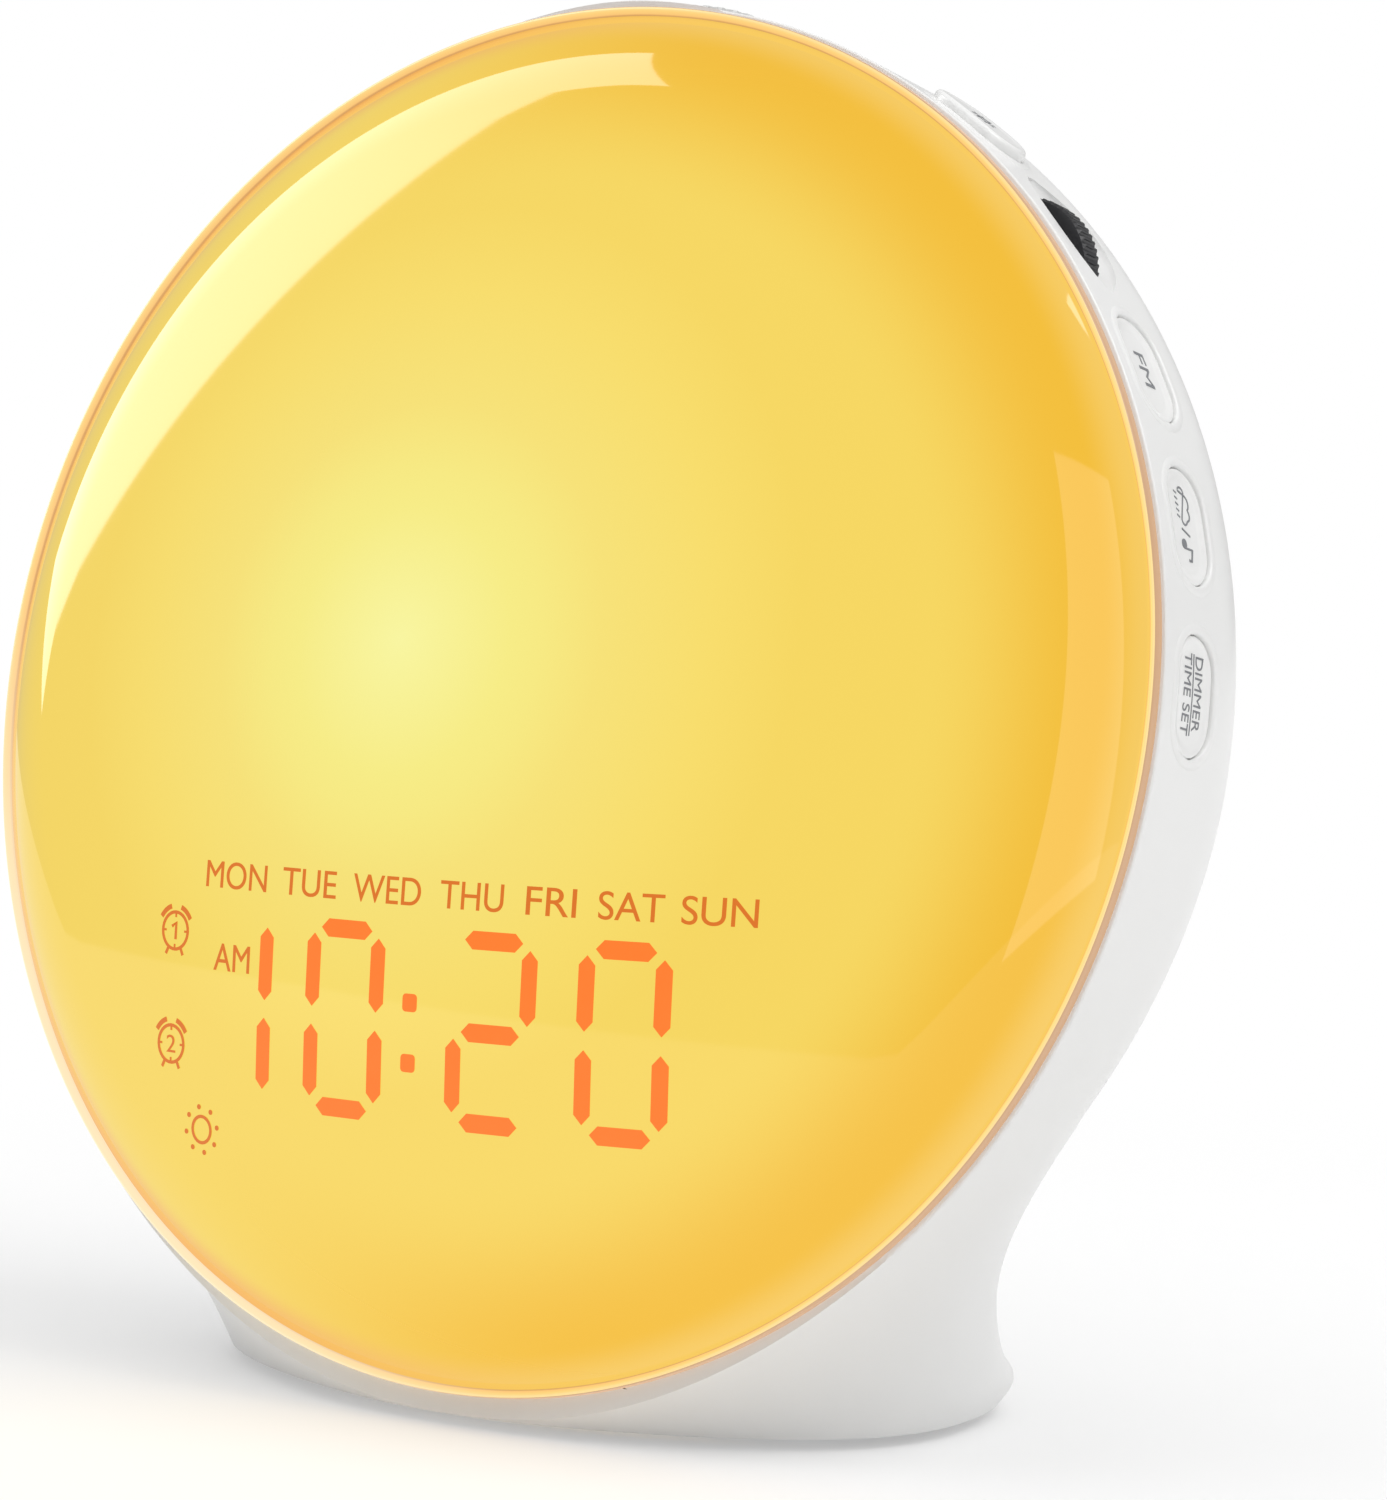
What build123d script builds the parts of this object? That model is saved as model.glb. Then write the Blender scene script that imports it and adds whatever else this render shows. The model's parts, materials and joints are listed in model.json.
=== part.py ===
from build123d import *
import os
from math import asin, cos, degrees, pi, radians, sin, tan

# A free-standing sunrise alarm clock. Lengths are in millimetres.
# Two frames are used. The standing frame has Z up from the table, with Y to the rear.
# The face frame leans back with the round face: X right, Y to the rear, Z up along the face,
# and its origin is the centre of the face's rim.

# ---- overall stance ----
face_lean = 12.1              # degrees that the face leans back
rim_height = 3.66             # lowest edge of the white band's plane above the table
sole_height = 1.5             # lower edge of the foot above the table

# ---- diffuser ----
face_radius = 87.5
flange_thickness = 1.6
rim_lip_width = 1.1           # raised edge round the dome
rim_lip_height = 0.8          # its crest in front of the dome's foot
dome_rise = 15.0              # crown of the dome in front of the rim
dome_sphere_radius = 305.0    # gentle middle of the dome
shoulder_width = 12.5         # from the edge of the gentle middle to the edge of the face
dome_wall = 2.0
edge_rounding = 0.4
skirt_clearance = 0.3         # between the skirt and the shell
skirt_wall = 1.8
skirt_length = 2.4

# ---- rear shell ----
band_reveal = 0.6             # the white band stands proud of the rim by this
band_depth = 16.0             # straight part of the side band, from the rim
shell_wall = 2.8
shoulder_radius = 14.0        # rounding from the band into the back
shoulder_turn = 60.0          # degrees of that rounding
# low pod behind the crown, which carries the dial
pod_radius = 29.5
pod_drop = 31.1               # its axis below the top of the band
pod_end = 39.0
pod_rounding = 11.0
# height above the table, half width, front and back of the foot and its waist
foot_sections = [
    (sole_height, 54.9, -12.9, 44.5),
    (3.9, 56.5, -13.3, 45.8),
    (8.5, 57.6, -13.3, 39.6),
    (14.0, 58.8, -12.6, 34.1),
    (24.0, 60.8, -10.8, 30.6),
    (36.0, 63.5, -8.0, 33.0),
    (46.0, 64.5, -5.0, 34.5),
    (56.0, 63.0, -2.0, 33.0),
]
foot_squareness = 2.4         # 2 would be an ellipse
curve_points = 24             # points along each section curve

# ---- side controls ----
key_spacing = 20.34           # between neighbouring controls, along the band
first_key_rise = 3.69         # lowest key above the horizontal, along the band
key_centre_depth = 9.3        # behind the rim
key_length = 14.4
key_width = 8.8
key_clearance = 0.3
key_thickness = 3.5           # from the band's surface to the underside of the cap
key_sink = 0.3                # cap below the band's surface
key_lip_width = 1.0           # raised edge round each key opening
key_lip_height = 0.15
key_travel = 0.6
key_edge = 0.35               # rounding of the cap's edge
high_key_raise = 1.3          # the upper key stands proud of the band
lug_clearance = 0.36          # between the retaining lugs and the ribs beside them
lug_thickness = 1.5
lug_width = 5.0
stem_length = 3.9
stem_size = 3.2
key_bevel = 0.3               # eased edge of the key opening
plunger_gap = 0.2             # left between stem and switch at full travel
switch_size = 6.0
switch_height = 3.4
plunger_radius = 1.75
plunger_height = 0.6
key_board_thickness = 1.2
key_board_width = 9.6
rib_thickness = 1.6
rib_reach = 14.6              # from the band's surface to the inner end of the ribs
rib_front = 4.4
rib_depth = 10.2
seat_gap = 0.2                # between fixed neighbours

# ---- volume wheel ----
wheel_radius = 9.5
wheel_thickness = 3.4
wheel_centre_depth = 8.6
wheel_proud = 1.3             # wheel top above the band
wheel_shaft_radius = 1.5
wheel_slot_clearance = 0.5
wheel_teeth = 60
tooth_depth = 0.35
scoop_length = 20.0
scoop_sink = 2.6
scoop_front = 4.7
scoop_width = 10.6
scoop_floor = 1.9             # wall left under the scoop
pot_size = 7.2
pot_gap = 0.6                 # between wheel and potentiometer
volume_board_thickness = 1.2
running_clearance = 0.05

# ---- top dial ----
dial_depth = 24.5             # behind the rim
dial_seat_drop = 0.9          # seat below the top of the band
dial_lean = 8.0               # degrees, follows the crown of the shell
dial_radius = 10.3
dial_height = 2.8
dial_flutes = 33
flute_depth = 0.35
dial_gap = 0.9                # over the seat, more than its travel
dial_travel = 0.5
dial_seat_radius = 11.6
dial_seat_depth = 15.0
dial_seat_floor = 7.5         # solid top of the seat
dial_pocket_radius = 9.6
dial_shaft_radius = 3.0
dial_bore_clearance = 0.25
plate_radius = 3.6
plate_thickness = 1.2
encoder_size = 12.4
encoder_height = 7.0
encoder_wall = 1.4
dial_board_radius = 9.3
dial_board_thickness = 1.6

# ---- light and display ----
pan_clearance = 0.3           # between the pan and the skirt
pan_flange_width = 10.9
pan_slope_width = 14.0
pan_front = 2.7
pan_floor_depth = 13.0
pan_wall = 1.4
led_board_margin = 2.0        # between the board and the edge of the pan's floor
led_board_lift = 7.0          # lower edge of the board above the display's top
board_thickness = 1.5
led_size = 3.5
led_height = 1.0
led_rings = [(12.0, 8), (28.0, 16)]
display_half_width = 37.0
display_top = -27.0
display_bottom = -58.0
display_wall = 1.2
display_cover_gap = 0.4
mask_thickness = 1.6
mask_half_width = 53.0
mask_top = -21.0
mask_bottom = -61.0
mask_margin = 9.5             # from the edge of the mask to the edge of the face
digit_height = 21.0
digit_width = 13.4
segment_width = 2.5
digit_pitch = 15.8
digit_middle = -43.4
digit_lefts = [-31.0, -22.9, 0.0, 18.6]
digit_segments = ["bc", "abcdef", "abged", "abcdef"]
colon_left = -5.2
colon_size = 1.8
colon_spread = 8.0
post_radius = 3.0

# ---- main board ----
main_board_room = 3.0         # between the board and the speaker's magnet
tall_part_gap = 0.6           # between the tallest parts and the pan
main_board_half_width = 42.0
main_board_bottom = -20.0
main_board_top = 38.0
board_post_x = 36.0
board_posts_z = [-14.0, 32.0]

# ---- speaker ----
speaker_height = 5.0          # above the face centre
speaker_setback = 6.85        # flat seat in front of the crown of the back
speaker_radius = 28.0
speaker_flange = 1.5
basket_mouth = 22.0
basket_throat = 15.0
basket_depth = 8.0
basket_wall = 1.2
basket_hub_width = 8.0        # flat ring that carries the magnet
surround_width = 1.2          # soft edge of the cone
cone_depth = 7.0
cone_throat = 7.0
cone_gap = 0.3                # between the cone's edge and the seat
magnet_radius = 16.0
magnet_depth = 6.0
cone_wall = 0.5
grille_hole_radius = 1.1
grille_rings = [(5.0, 6), (10.0, 12), (15.0, 18), (20.0, 24)]
speaker_screw_radius = 25.8
speaker_screw_angles = [45.0, 135.0, 225.0, 315.0]

# ---- foot parts ----
plate_height = 2.3
plate_thick = 1.8
plate_clearance = 0.3
base_screw_x = 40.0
base_screw_ys = [2.0, 20.0]
base_boss_radius = 3.4
base_boss_top = 16.0
foot_pad_radius = 4.5
foot_pad_x = 26.0
foot_pad_ys = [-1.0, 33.0]
foot_pad_sink = 0.6           # pad seated in the plate

# ---- battery ----
battery_y = 8.0
cover_radius = 13.0
cover_clearance = 0.3
coin_slot_length = 14.0
coin_slot_width = 1.8
coin_slot_depth = 0.8
cell_radius = 10.0
cell_height = 3.2
cell_clearance = 0.2
cup_wall = 1.4
contact_thickness = 0.4

# ---- power inlet ----
jack_height = 17.0
jack_half = 4.5
jack_length = 12.5
jack_nose_radius = 3.9
jack_bore_radius = 2.75
jack_bore_depth = 9.5
jack_pin_radius = 1.0
jack_mouth = 30.6             # end of the inlet, behind the face centre
jack_nose_length = 3.6
jack_boss_radius = 7.2
jack_recess_radius = 5.8
jack_recess_sink = 0.2        # the inlet ends this far under the recess floor

# ---- fasteners ----
screw_head_radius = 2.3
screw_head_height = 1.6
screw_shank_radius = 1.2
screw_hole_clearance = 0.05
pan_screw_angles = [75.0, 105.0, -35.0, -145.0]
pan_screw_inset = 3.5         # from the edge of the pan to the screws
pan_boss_radius = 3.0
pan_boss_depth = 12.0
pan_screw_length = 9.0
board_screw_length = 6.0
speaker_screw_length = 3.9
base_screw_length = 8.0
base_head_sink = 0.8          # low screw heads sit in the plate

band_radius = face_radius + band_reveal
key_pitch = degrees(key_spacing / band_radius)
first_key_angle = degrees(first_key_rise / band_radius)
face_centre_height = rim_height + band_radius * cos(radians(face_lean))
shoulder_start = face_radius - shoulder_width
dome_edge_radius = face_radius - rim_lip_width
skirt_outer_radius = band_radius - shell_wall - skirt_clearance
skirt_inner_radius = skirt_outer_radius - skirt_wall
key_inner_radius = band_radius - key_thickness
rib_inner_radius = band_radius - rib_reach
dial_seat_height = band_radius - dial_seat_drop
pod_height = band_radius - pod_drop
mask_radius = face_radius - mask_margin
pan_radius = skirt_inner_radius - pan_clearance
pan_flange_inner = pan_radius - pan_flange_width
pan_floor_radius = pan_flange_inner - pan_slope_width
pan_screw_radius = pan_radius - pan_screw_inset
led_board_low = display_top + led_board_lift
led_board_high = pan_floor_radius - led_board_margin
led_board_radius = (led_board_high - led_board_low) / 2
led_board_centre = (led_board_high + led_board_low) / 2

back_sphere_depth = band_depth - (band_radius - shoulder_radius) * tan(radians(shoulder_turn))
back_sphere_radius = (band_radius - shoulder_radius) / cos(radians(shoulder_turn)) + shoulder_radius

speaker_seat = back_sphere_depth + back_sphere_radius - speaker_setback
magnet_back = speaker_seat - speaker_flange - basket_depth - magnet_depth
main_board_depth = magnet_back - main_board_room - board_thickness

wheel_angle = first_key_angle + 3 * key_pitch
wheel_axis_radius = band_radius + wheel_proud - wheel_radius
rib_end = rib_front + rib_depth
pan_back = pan_floor_depth + pan_wall
jack_body_back = jack_mouth - jack_nose_length

face_to_standing = Location((0, 0, face_centre_height), (-face_lean, 0, 0))


def cylinder_along_y(radius, front, back, x=0.0, z=0.0):
    """A round bar in the face frame, from depth front to depth back."""
    return Pos(x, (front + back) / 2, z) * Rot(90, 0, 0) * Cylinder(radius, back - front)


def box_between(x0, x1, y0, y1, z0, z1):
    centre = Pos((x0 + x1) / 2, (y0 + y1) / 2, (z0 + z1) / 2)
    return centre * Box(x1 - x0, y1 - y0, z1 - z0)


def revolve_y(points_and_edges):
    return revolve(make_face(points_and_edges), Axis.Y)


def polygon_about_y(points):
    return revolve_y(Polyline(*points, close=True))


def band_plane(angle, radius=0.0, depth=key_centre_depth):
    """Plane on the side band: its X runs along the band, its Z outwards."""
    a = radians(angle)
    outward = (cos(a), 0, sin(a))
    return Plane(origin=(radius * cos(a), depth, radius * sin(a)), x_dir=(-sin(a), 0, cos(a)), z_dir=outward)


# ---------------------------------------------------------------- diffuser

def dome_surface_depth(radius):
    """Depth of the dome's gentle middle at a radius, negative in front of the rim."""
    return -dome_rise + dome_sphere_radius - (dome_sphere_radius**2 - radius**2)**0.5


def dome_profile(inset):
    """Closed half section of the space under the dome, moved in by inset."""
    edge_radius = skirt_inner_radius + dome_wall - inset if inset else dome_edge_radius
    start_depth = dome_surface_depth(shoulder_start)
    slope = asin(shoulder_start / dome_sphere_radius)
    start = (shoulder_start - inset * sin(slope), start_depth + inset * cos(slope))
    middle_radius = shoulder_start / 2
    middle_slope = asin(middle_radius / dome_sphere_radius)
    middle = (middle_radius - inset * sin(middle_slope),
              dome_surface_depth(middle_radius) + inset * cos(middle_slope))
    crown = (0, -dome_rise + inset)
    cap = ThreePointArc(crown, middle, start)
    shoulder = TangentArc(start, (edge_radius, rim_lip_height), tangent=cap % 1)
    closing = Polyline((edge_radius, rim_lip_height), (edge_radius, flange_thickness),
                       (0, flange_thickness), crown)
    return cap + shoulder + closing


def dome_space(inset):
    return revolve_y(dome_profile(inset))


def make_diffuser_dome():
    skirt_end = flange_thickness + skirt_length
    rim = polygon_about_y([
        (0, rim_lip_height), (dome_edge_radius, rim_lip_height), (face_radius - edge_rounding, 0),
        (face_radius, edge_rounding), (face_radius, flange_thickness), (skirt_outer_radius, flange_thickness),
        (skirt_outer_radius, skirt_end), (0, skirt_end)])
    opening = cylinder_along_y(skirt_inner_radius, flange_thickness / 2, skirt_end + 1)
    return rim + dome_space(0) - dome_space(dome_wall) - opening


# ---------------------------------------------------------------- rear shell

def shell_body(inset, front):
    """The round shell as a solid of revolution in the standing frame, moved in by inset."""
    turn = radians(shoulder_turn)
    centre_radius = band_radius - shoulder_radius
    rounding = shoulder_radius - inset
    start = (band_radius - inset, band_depth)
    middle = (centre_radius + rounding * cos(turn / 2), band_depth + rounding * sin(turn / 2))
    end = (centre_radius + rounding * cos(turn), band_depth + rounding * sin(turn))
    shoulder = ThreePointArc(start, middle, end)
    half = (pi / 2 - turn) / 2
    back_radius = back_sphere_radius - inset
    crown_middle = (back_radius * sin(half), back_sphere_depth + back_radius * cos(half))
    crown = (0, back_sphere_depth + back_radius)
    back = ThreePointArc(end, crown_middle, crown)
    closing = Polyline(crown, (0, front), (band_radius - inset, front), start)
    return face_to_standing * revolve_y(closing + shoulder + back)


def back_depth(radius, inset=0.0):
    """Depth of the gently rounded back at a distance from its axis."""
    return back_sphere_depth + ((back_sphere_radius - inset)**2 - radius**2)**0.5


def oval_face(height, half_width, front, back):
    """Squarish oval at a height above the table."""
    points = []
    power = 2 / foot_squareness
    for i in range(curve_points):
        t = 2 * pi * i / curve_points
        c, s = cos(t), sin(t)
        x = half_width * abs(c) ** power * (1 if c > 0 else -1)
        y = (back - front) / 2 * abs(s) ** power * (1 if s > 0 else -1)
        points.append((x, (front + back) / 2 + y))
    return Pos(0, 0, height) * make_face(Spline(*points, periodic=True))


def foot_body(inset):
    faces = [oval_face(z, w - inset, f + inset, b - inset) for z, w, f, b in foot_sections]
    return loft(faces)


def key_slot(angle, grow, inner, outer, taper=0.0):
    """Rounded bar through the band at a key's place."""
    profile = SlotOverall(key_length + 2 * grow, key_width + 2 * grow)
    return extrude(band_plane(angle, inner) * profile, outer - inner, taper=taper)


def key_lip(angle):
    """Low raised edge on the band round a key opening, before the opening is cut."""
    lip = key_slot(angle, key_clearance + key_lip_width, band_radius - shell_wall / 2, band_radius + 1)
    return lip & cylinder_along_y(band_radius + key_lip_height, 0, 2 * key_centre_depth)


def key_angles(side):
    """Angles of the keys on one side, bottom to top: right keeps the wheel's place free."""
    steps = [0, 1, 2, 4] if side == "right" else [0, 1, 2, 3, 4]
    angles = [first_key_angle + step * key_pitch for step in steps]
    return angles if side == "right" else [180 - angle for angle in angles]


def rib_angles(side):
    angles = [first_key_angle + (step - 0.5) * key_pitch for step in range(6)]
    return angles if side == "right" else [180 - angle for angle in angles]


dial_place = Location((0, dial_depth, dial_seat_height), (-dial_lean, 0, 0))
dial_standing = face_to_standing * dial_place


def band_box(angle, length, depth0, depth1, inner, outer):
    """Block on the band: length along the band, between two depths and two radii."""
    plane = band_plane(angle, (inner + outer) / 2, (depth0 + depth1) / 2)
    return plane.location * Box(length, depth1 - depth0, outer - inner)


def scoop_cutter():
    """Finger scoop: a shallow cylinder across the band, rounded at its front and rear."""
    half = scoop_length / 2
    curve = half**2 / (2 * scoop_sink - half**2 / band_radius)
    plane = band_plane(wheel_angle, band_radius - scoop_sink + curve, scoop_front + scoop_width / 2)
    bar = plane.location * Rot(90, 0, 0) * Cylinder(curve, scoop_width)
    edges = bar.edges().filter_by(GeomType.CIRCLE)
    return fillet(edges, 2.0)


def pan_boss(angle, shell_inner):
    a = radians(angle)
    x, z = pan_screw_radius * cos(a), pan_screw_radius * sin(a)
    front = pan_front + pan_wall
    back = front + pan_boss_depth
    boss = cylinder_along_y(pan_boss_radius, front, back, x, z)
    web = band_box(angle, rib_thickness, front, back, pan_screw_radius, shell_inner + 1)
    hole_radius = screw_shank_radius + screw_hole_clearance
    return boss + web, cylinder_along_y(hole_radius, front - 1, back - 2, x, z)


def base_boss(x, y):
    low = plate_height + plate_thick
    middle = (low + base_boss_top) / 2
    boss = Pos(x, y, middle) * Cylinder(base_boss_radius, base_boss_top - low)
    side = 1 if x > 0 else -1
    reach = foot_sections[0][1] - abs(x)
    web = Pos(x + side * reach / 2, y, middle) * Box(reach, rib_thickness, base_boss_top - low)
    hole = Pos(x, y, low + base_screw_length / 2) * Cylinder(
        screw_shank_radius + screw_hole_clearance, base_screw_length + 2)
    return boss + web, hole


def grille_places():
    places = [(0.0, 0.0)]
    for radius, count in grille_rings:
        for i in range(count):
            t = 2 * pi * i / count
            places.append((radius * cos(t), radius * sin(t)))
    return places


def screw_ring(radius):
    angles = [radians(angle) for angle in speaker_screw_angles]
    return [(radius * cos(angle), radius * sin(angle)) for angle in angles]


def pod_body(inset):
    pod = cylinder_along_y(pod_radius - inset, band_depth / 2, pod_end - inset, 0, pod_height)
    rim = pod.edges().filter_by(GeomType.CIRCLE).sort_by(Axis.Y)[-1]
    return face_to_standing * fillet(rim, pod_rounding - inset)


def hollow_body():
    """The room inside the shell and the foot, open at the front and underneath."""
    room = shell_body(shell_wall, flange_thickness - 1) + pod_body(shell_wall) + foot_body(shell_wall)
    return room + oval_prism(shell_wall, sole_height - 1, sole_height + 0.5)


def solid_body():
    """The outer form of shell and foot, flat at the front and at the sole."""
    reach = 2 * face_radius
    body = shell_body(0, flange_thickness) + pod_body(0) + foot_body(0)
    body -= face_to_standing * box_between(-reach, reach, -reach, flange_thickness, -reach, reach)
    return body - box_between(-reach, reach, -reach, reach, -reach, sole_height)


def wheel_scoop():
    """Pad added inside the band at the volume wheel, and the scoop and round slot cut there."""
    pad_inner = band_radius - scoop_sink - scoop_floor
    pad_length = 2 * pad_inner * sin(radians(key_pitch / 2))
    pad = band_box(wheel_angle, pad_length, rib_front, scoop_front + scoop_width + shell_wall / 2,
                   pad_inner, band_radius - shell_wall / 2)
    slot_width = wheel_thickness + 2 * wheel_slot_clearance
    centre = band_plane(wheel_angle, wheel_axis_radius, wheel_centre_depth)
    slot = centre.location * Rot(90, 0, 0) * Cylinder(wheel_radius + wheel_slot_clearance, slot_width)
    return pad, [scoop_cutter(), slot]


def dial_seat():
    """Round plinth under the dial, and the pocket and bore cut in it."""
    seat = Pos(0, 0, -dial_seat_depth / 2) * Cylinder(dial_seat_radius, dial_seat_depth)
    seat = fillet(seat.edges().filter_by(GeomType.CIRCLE).sort_by(Axis.Z)[-1], 0.6)
    pocket = Pos(0, 0, -dial_seat_floor - dial_seat_depth) * Cylinder(dial_pocket_radius, 2 * dial_seat_depth)
    bore = Cylinder(dial_shaft_radius + dial_bore_clearance, 4 * dial_seat_floor)
    return dial_place * seat, [dial_place * pocket, dial_place * bore]


def speaker_mount(outer):
    """Flat ring inside the back for the speaker, and the grille and screw holes."""
    depth = back_depth(0) - speaker_seat
    ring = cylinder_along_y(speaker_radius, speaker_seat, speaker_seat + depth, 0, speaker_height)
    mouth = basket_mouth - basket_wall
    ring -= cylinder_along_y(mouth, speaker_seat - 1, speaker_seat + depth + 1, 0, speaker_height)
    holes = [cylinder_along_y(grille_hole_radius, speaker_seat, back_depth(0) + 1, x, speaker_height + z)
             for x, z in grille_places()]
    holes += [cylinder_along_y(screw_shank_radius + screw_hole_clearance, speaker_seat - 1,
                               speaker_seat + speaker_screw_length - speaker_flange + 0.3,
                               x, speaker_height + z)
              for x, z in screw_ring(speaker_screw_radius)]
    return outer & (face_to_standing * ring), holes


def jack_mount(outer):
    """Thickened wall round the power inlet, and its flat recess and hole."""
    def bar(radius, front, back):
        return Pos(0, 0, jack_height) * cylinder_along_y(radius, front, back)

    rear = foot_sections[1][3]
    boss = outer & bar(jack_boss_radius, jack_body_back, rear)
    recess = bar(jack_recess_radius, jack_mouth + jack_recess_sink, rear)
    return boss, [recess, bar(jack_nose_radius + seat_gap, jack_body_back - 1, rear)]


def make_main_housing():
    outer = solid_body()
    housing = outer - hollow_body()
    shell_inner = band_radius - shell_wall
    added, cuts = [], []
    for side in ("right", "left"):
        for angle in rib_angles(side):
            added.append(band_box(angle, rib_thickness, rib_front, rib_end, rib_inner_radius, shell_inner + 1))
        for angle in key_angles(side):
            added.append(key_lip(angle))
            cuts.append(key_slot(angle, key_clearance, key_inner_radius - 4, band_radius + 2))
            cuts.append(key_slot(angle, key_clearance, band_radius - key_bevel, band_radius + 1.5, -45))
    for angle in pan_screw_angles:
        boss, hole = pan_boss(angle, shell_inner)
        added.append(boss)
        cuts.append(hole)
    pad, scoop_cuts = wheel_scoop()
    seat, seat_cuts = dial_seat()
    ring, speaker_holes = speaker_mount(outer)
    added += [pad, seat]
    cuts += scoop_cuts + seat_cuts + speaker_holes
    added = [face_to_standing * piece for piece in added] + [ring]
    cuts = [face_to_standing * piece for piece in cuts]
    boss, jack_cuts = jack_mount(outer)
    added.append(boss)
    cuts += jack_cuts
    for x in (-base_screw_x, base_screw_x):
        for y in base_screw_ys:
            boss, hole = base_boss(x, y)
            added.append(outer & boss)
            cuts.append(hole)
    return housing + added - cuts


def oval_prism(inset, low, high):
    """Straight plug of the sole's outline, moved in by inset."""
    z, w, f, b = foot_sections[0]
    return extrude(oval_face(low, w - inset, f + inset, b - inset), high - low)


# ---------------------------------------------------------------- keys

def make_key(angle, proud):
    cap = key_slot(angle, 0, key_inner_radius, band_radius + 4)
    cap &= cylinder_along_y(band_radius + proud, 0, 3 * key_centre_depth)
    outward = Axis((0, 0, 0), (cos(radians(angle)), 0, sin(radians(angle))))
    cap = fillet(cap.faces().sort_by(outward)[-1].edges(), key_edge)
    lug_radius = key_inner_radius - lug_thickness
    lugs = band_box(angle, rib_gap(lug_radius) - 2 * lug_clearance, key_centre_depth - lug_width / 2,
                    key_centre_depth + lug_width / 2, lug_radius, key_inner_radius)
    stem_low = key_inner_radius - stem_length
    stem = band_box(angle, stem_size, key_centre_depth - stem_size / 2, key_centre_depth + stem_size / 2,
                    stem_low, key_inner_radius)
    return cap + lugs + stem


plunger_top = key_inner_radius - stem_length - key_travel - plunger_gap
switch_top = plunger_top - plunger_height
board_top = switch_top - switch_height


def make_switches(side):
    group = []
    for angle in key_angles(side):
        body = band_box(angle, switch_size, key_centre_depth - switch_size / 2,
                        key_centre_depth + switch_size / 2, board_top, switch_top)
        plane = band_plane(angle, switch_top + plunger_height / 2)
        group.append(body + plane.location * Cylinder(plunger_radius, plunger_height))
    return group


def rib_gap(radius):
    """Clear length between neighbouring ribs at a radius."""
    return 2 * radius * sin(radians(key_pitch / 2)) - rib_thickness


def make_key_boards(side):
    low = board_top - key_board_thickness
    gap = rib_gap(low)
    group = []
    for angle in key_angles(side):
        group.append(band_box(angle, gap, key_centre_depth - key_board_width / 2,
                              key_centre_depth + key_board_width / 2, low, board_top))
    return group


# ---------------------------------------------------------------- volume wheel

def make_volume_wheel():
    half = wheel_thickness / 2
    wheel = Cylinder(wheel_radius, wheel_thickness)
    wheel = chamfer(wheel.edges().filter_by(GeomType.CIRCLE), tooth_depth)
    notch = Pos(wheel_radius, 0, 0) * Cylinder(tooth_depth, wheel_thickness + 1)
    wheel -= [Rot(0, 0, 360 * i / wheel_teeth) * notch for i in range(wheel_teeth)]
    shaft_length = rib_end - seat_gap - wheel_centre_depth - half
    wheel += Pos(0, 0, -half - shaft_length / 2) * Cylinder(wheel_shaft_radius, shaft_length)
    return wheel_location() * wheel


def wheel_location():
    """Wheel axis along the clock's depth, its local Z to the front."""
    a = radians(wheel_angle)
    place = Pos(wheel_axis_radius * cos(a), wheel_centre_depth, wheel_axis_radius * sin(a))
    return place * Rot(90, 0, 0)


def make_volume_pot():
    front = wheel_centre_depth + wheel_thickness / 2 + pot_gap
    half = pot_size / 2
    body = band_box(wheel_angle, pot_size, front, rib_end, wheel_axis_radius - half,
                    wheel_axis_radius + half)
    a = radians(wheel_angle)
    bore = cylinder_along_y(wheel_shaft_radius + running_clearance, front - 1, rib_end + 1,
                            wheel_axis_radius * cos(a), wheel_axis_radius * sin(a))
    return body - bore


def make_volume_board():
    low = rib_inner_radius
    return band_box(wheel_angle, rib_gap(low) + 1.5 * rib_thickness, rib_end,
                    rib_end + volume_board_thickness, low, wheel_axis_radius + pot_size / 2)


# ---------------------------------------------------------------- top dial

def make_top_dial():
    low = dial_gap
    dial = Pos(0, 0, low + dial_height / 2) * Cylinder(dial_radius, dial_height)
    dial = fillet(dial.edges().filter_by(GeomType.CIRCLE).sort_by(Axis.Z)[-1], 0.6)
    flute = Pos(dial_radius, 0, low + dial_height / 2) * Cylinder(2 * flute_depth, dial_height + 1)
    dial -= [Rot(0, 0, 360 * i / dial_flutes) * flute for i in range(dial_flutes)]
    return dial_standing * dial


encoder_top = -dial_seat_floor
shaft_bottom = encoder_top - 2.2
plate_top = shaft_bottom - running_clearance


def make_dial_shaft():
    return dial_standing * (Pos(0, 0, (dial_gap + shaft_bottom) / 2)
                            * Cylinder(dial_shaft_radius, dial_gap - shaft_bottom))


def make_dial_push_plate():
    return dial_standing * (Pos(0, 0, plate_top - plate_thickness / 2) * Cylinder(plate_radius, plate_thickness))


def make_encoder_case():
    low = encoder_top - encoder_height
    case = Pos(0, 0, (encoder_top + low) / 2) * Box(encoder_size, encoder_size, encoder_height)
    bore = Cylinder(dial_shaft_radius + running_clearance, encoder_height)
    room = Pos(0, 0, (encoder_top - encoder_wall + low + encoder_wall) / 2) * Cylinder(
        plate_radius + seat_gap, encoder_height - 2 * encoder_wall)
    return dial_standing * (case - Pos(0, 0, encoder_top) * bore - room)


def make_dial_board():
    low = encoder_top - encoder_height
    return dial_standing * (Pos(0, 0, low - dial_board_thickness / 2)
                            * Cylinder(dial_board_radius, dial_board_thickness))


# ---------------------------------------------------------------- light and display

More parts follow.
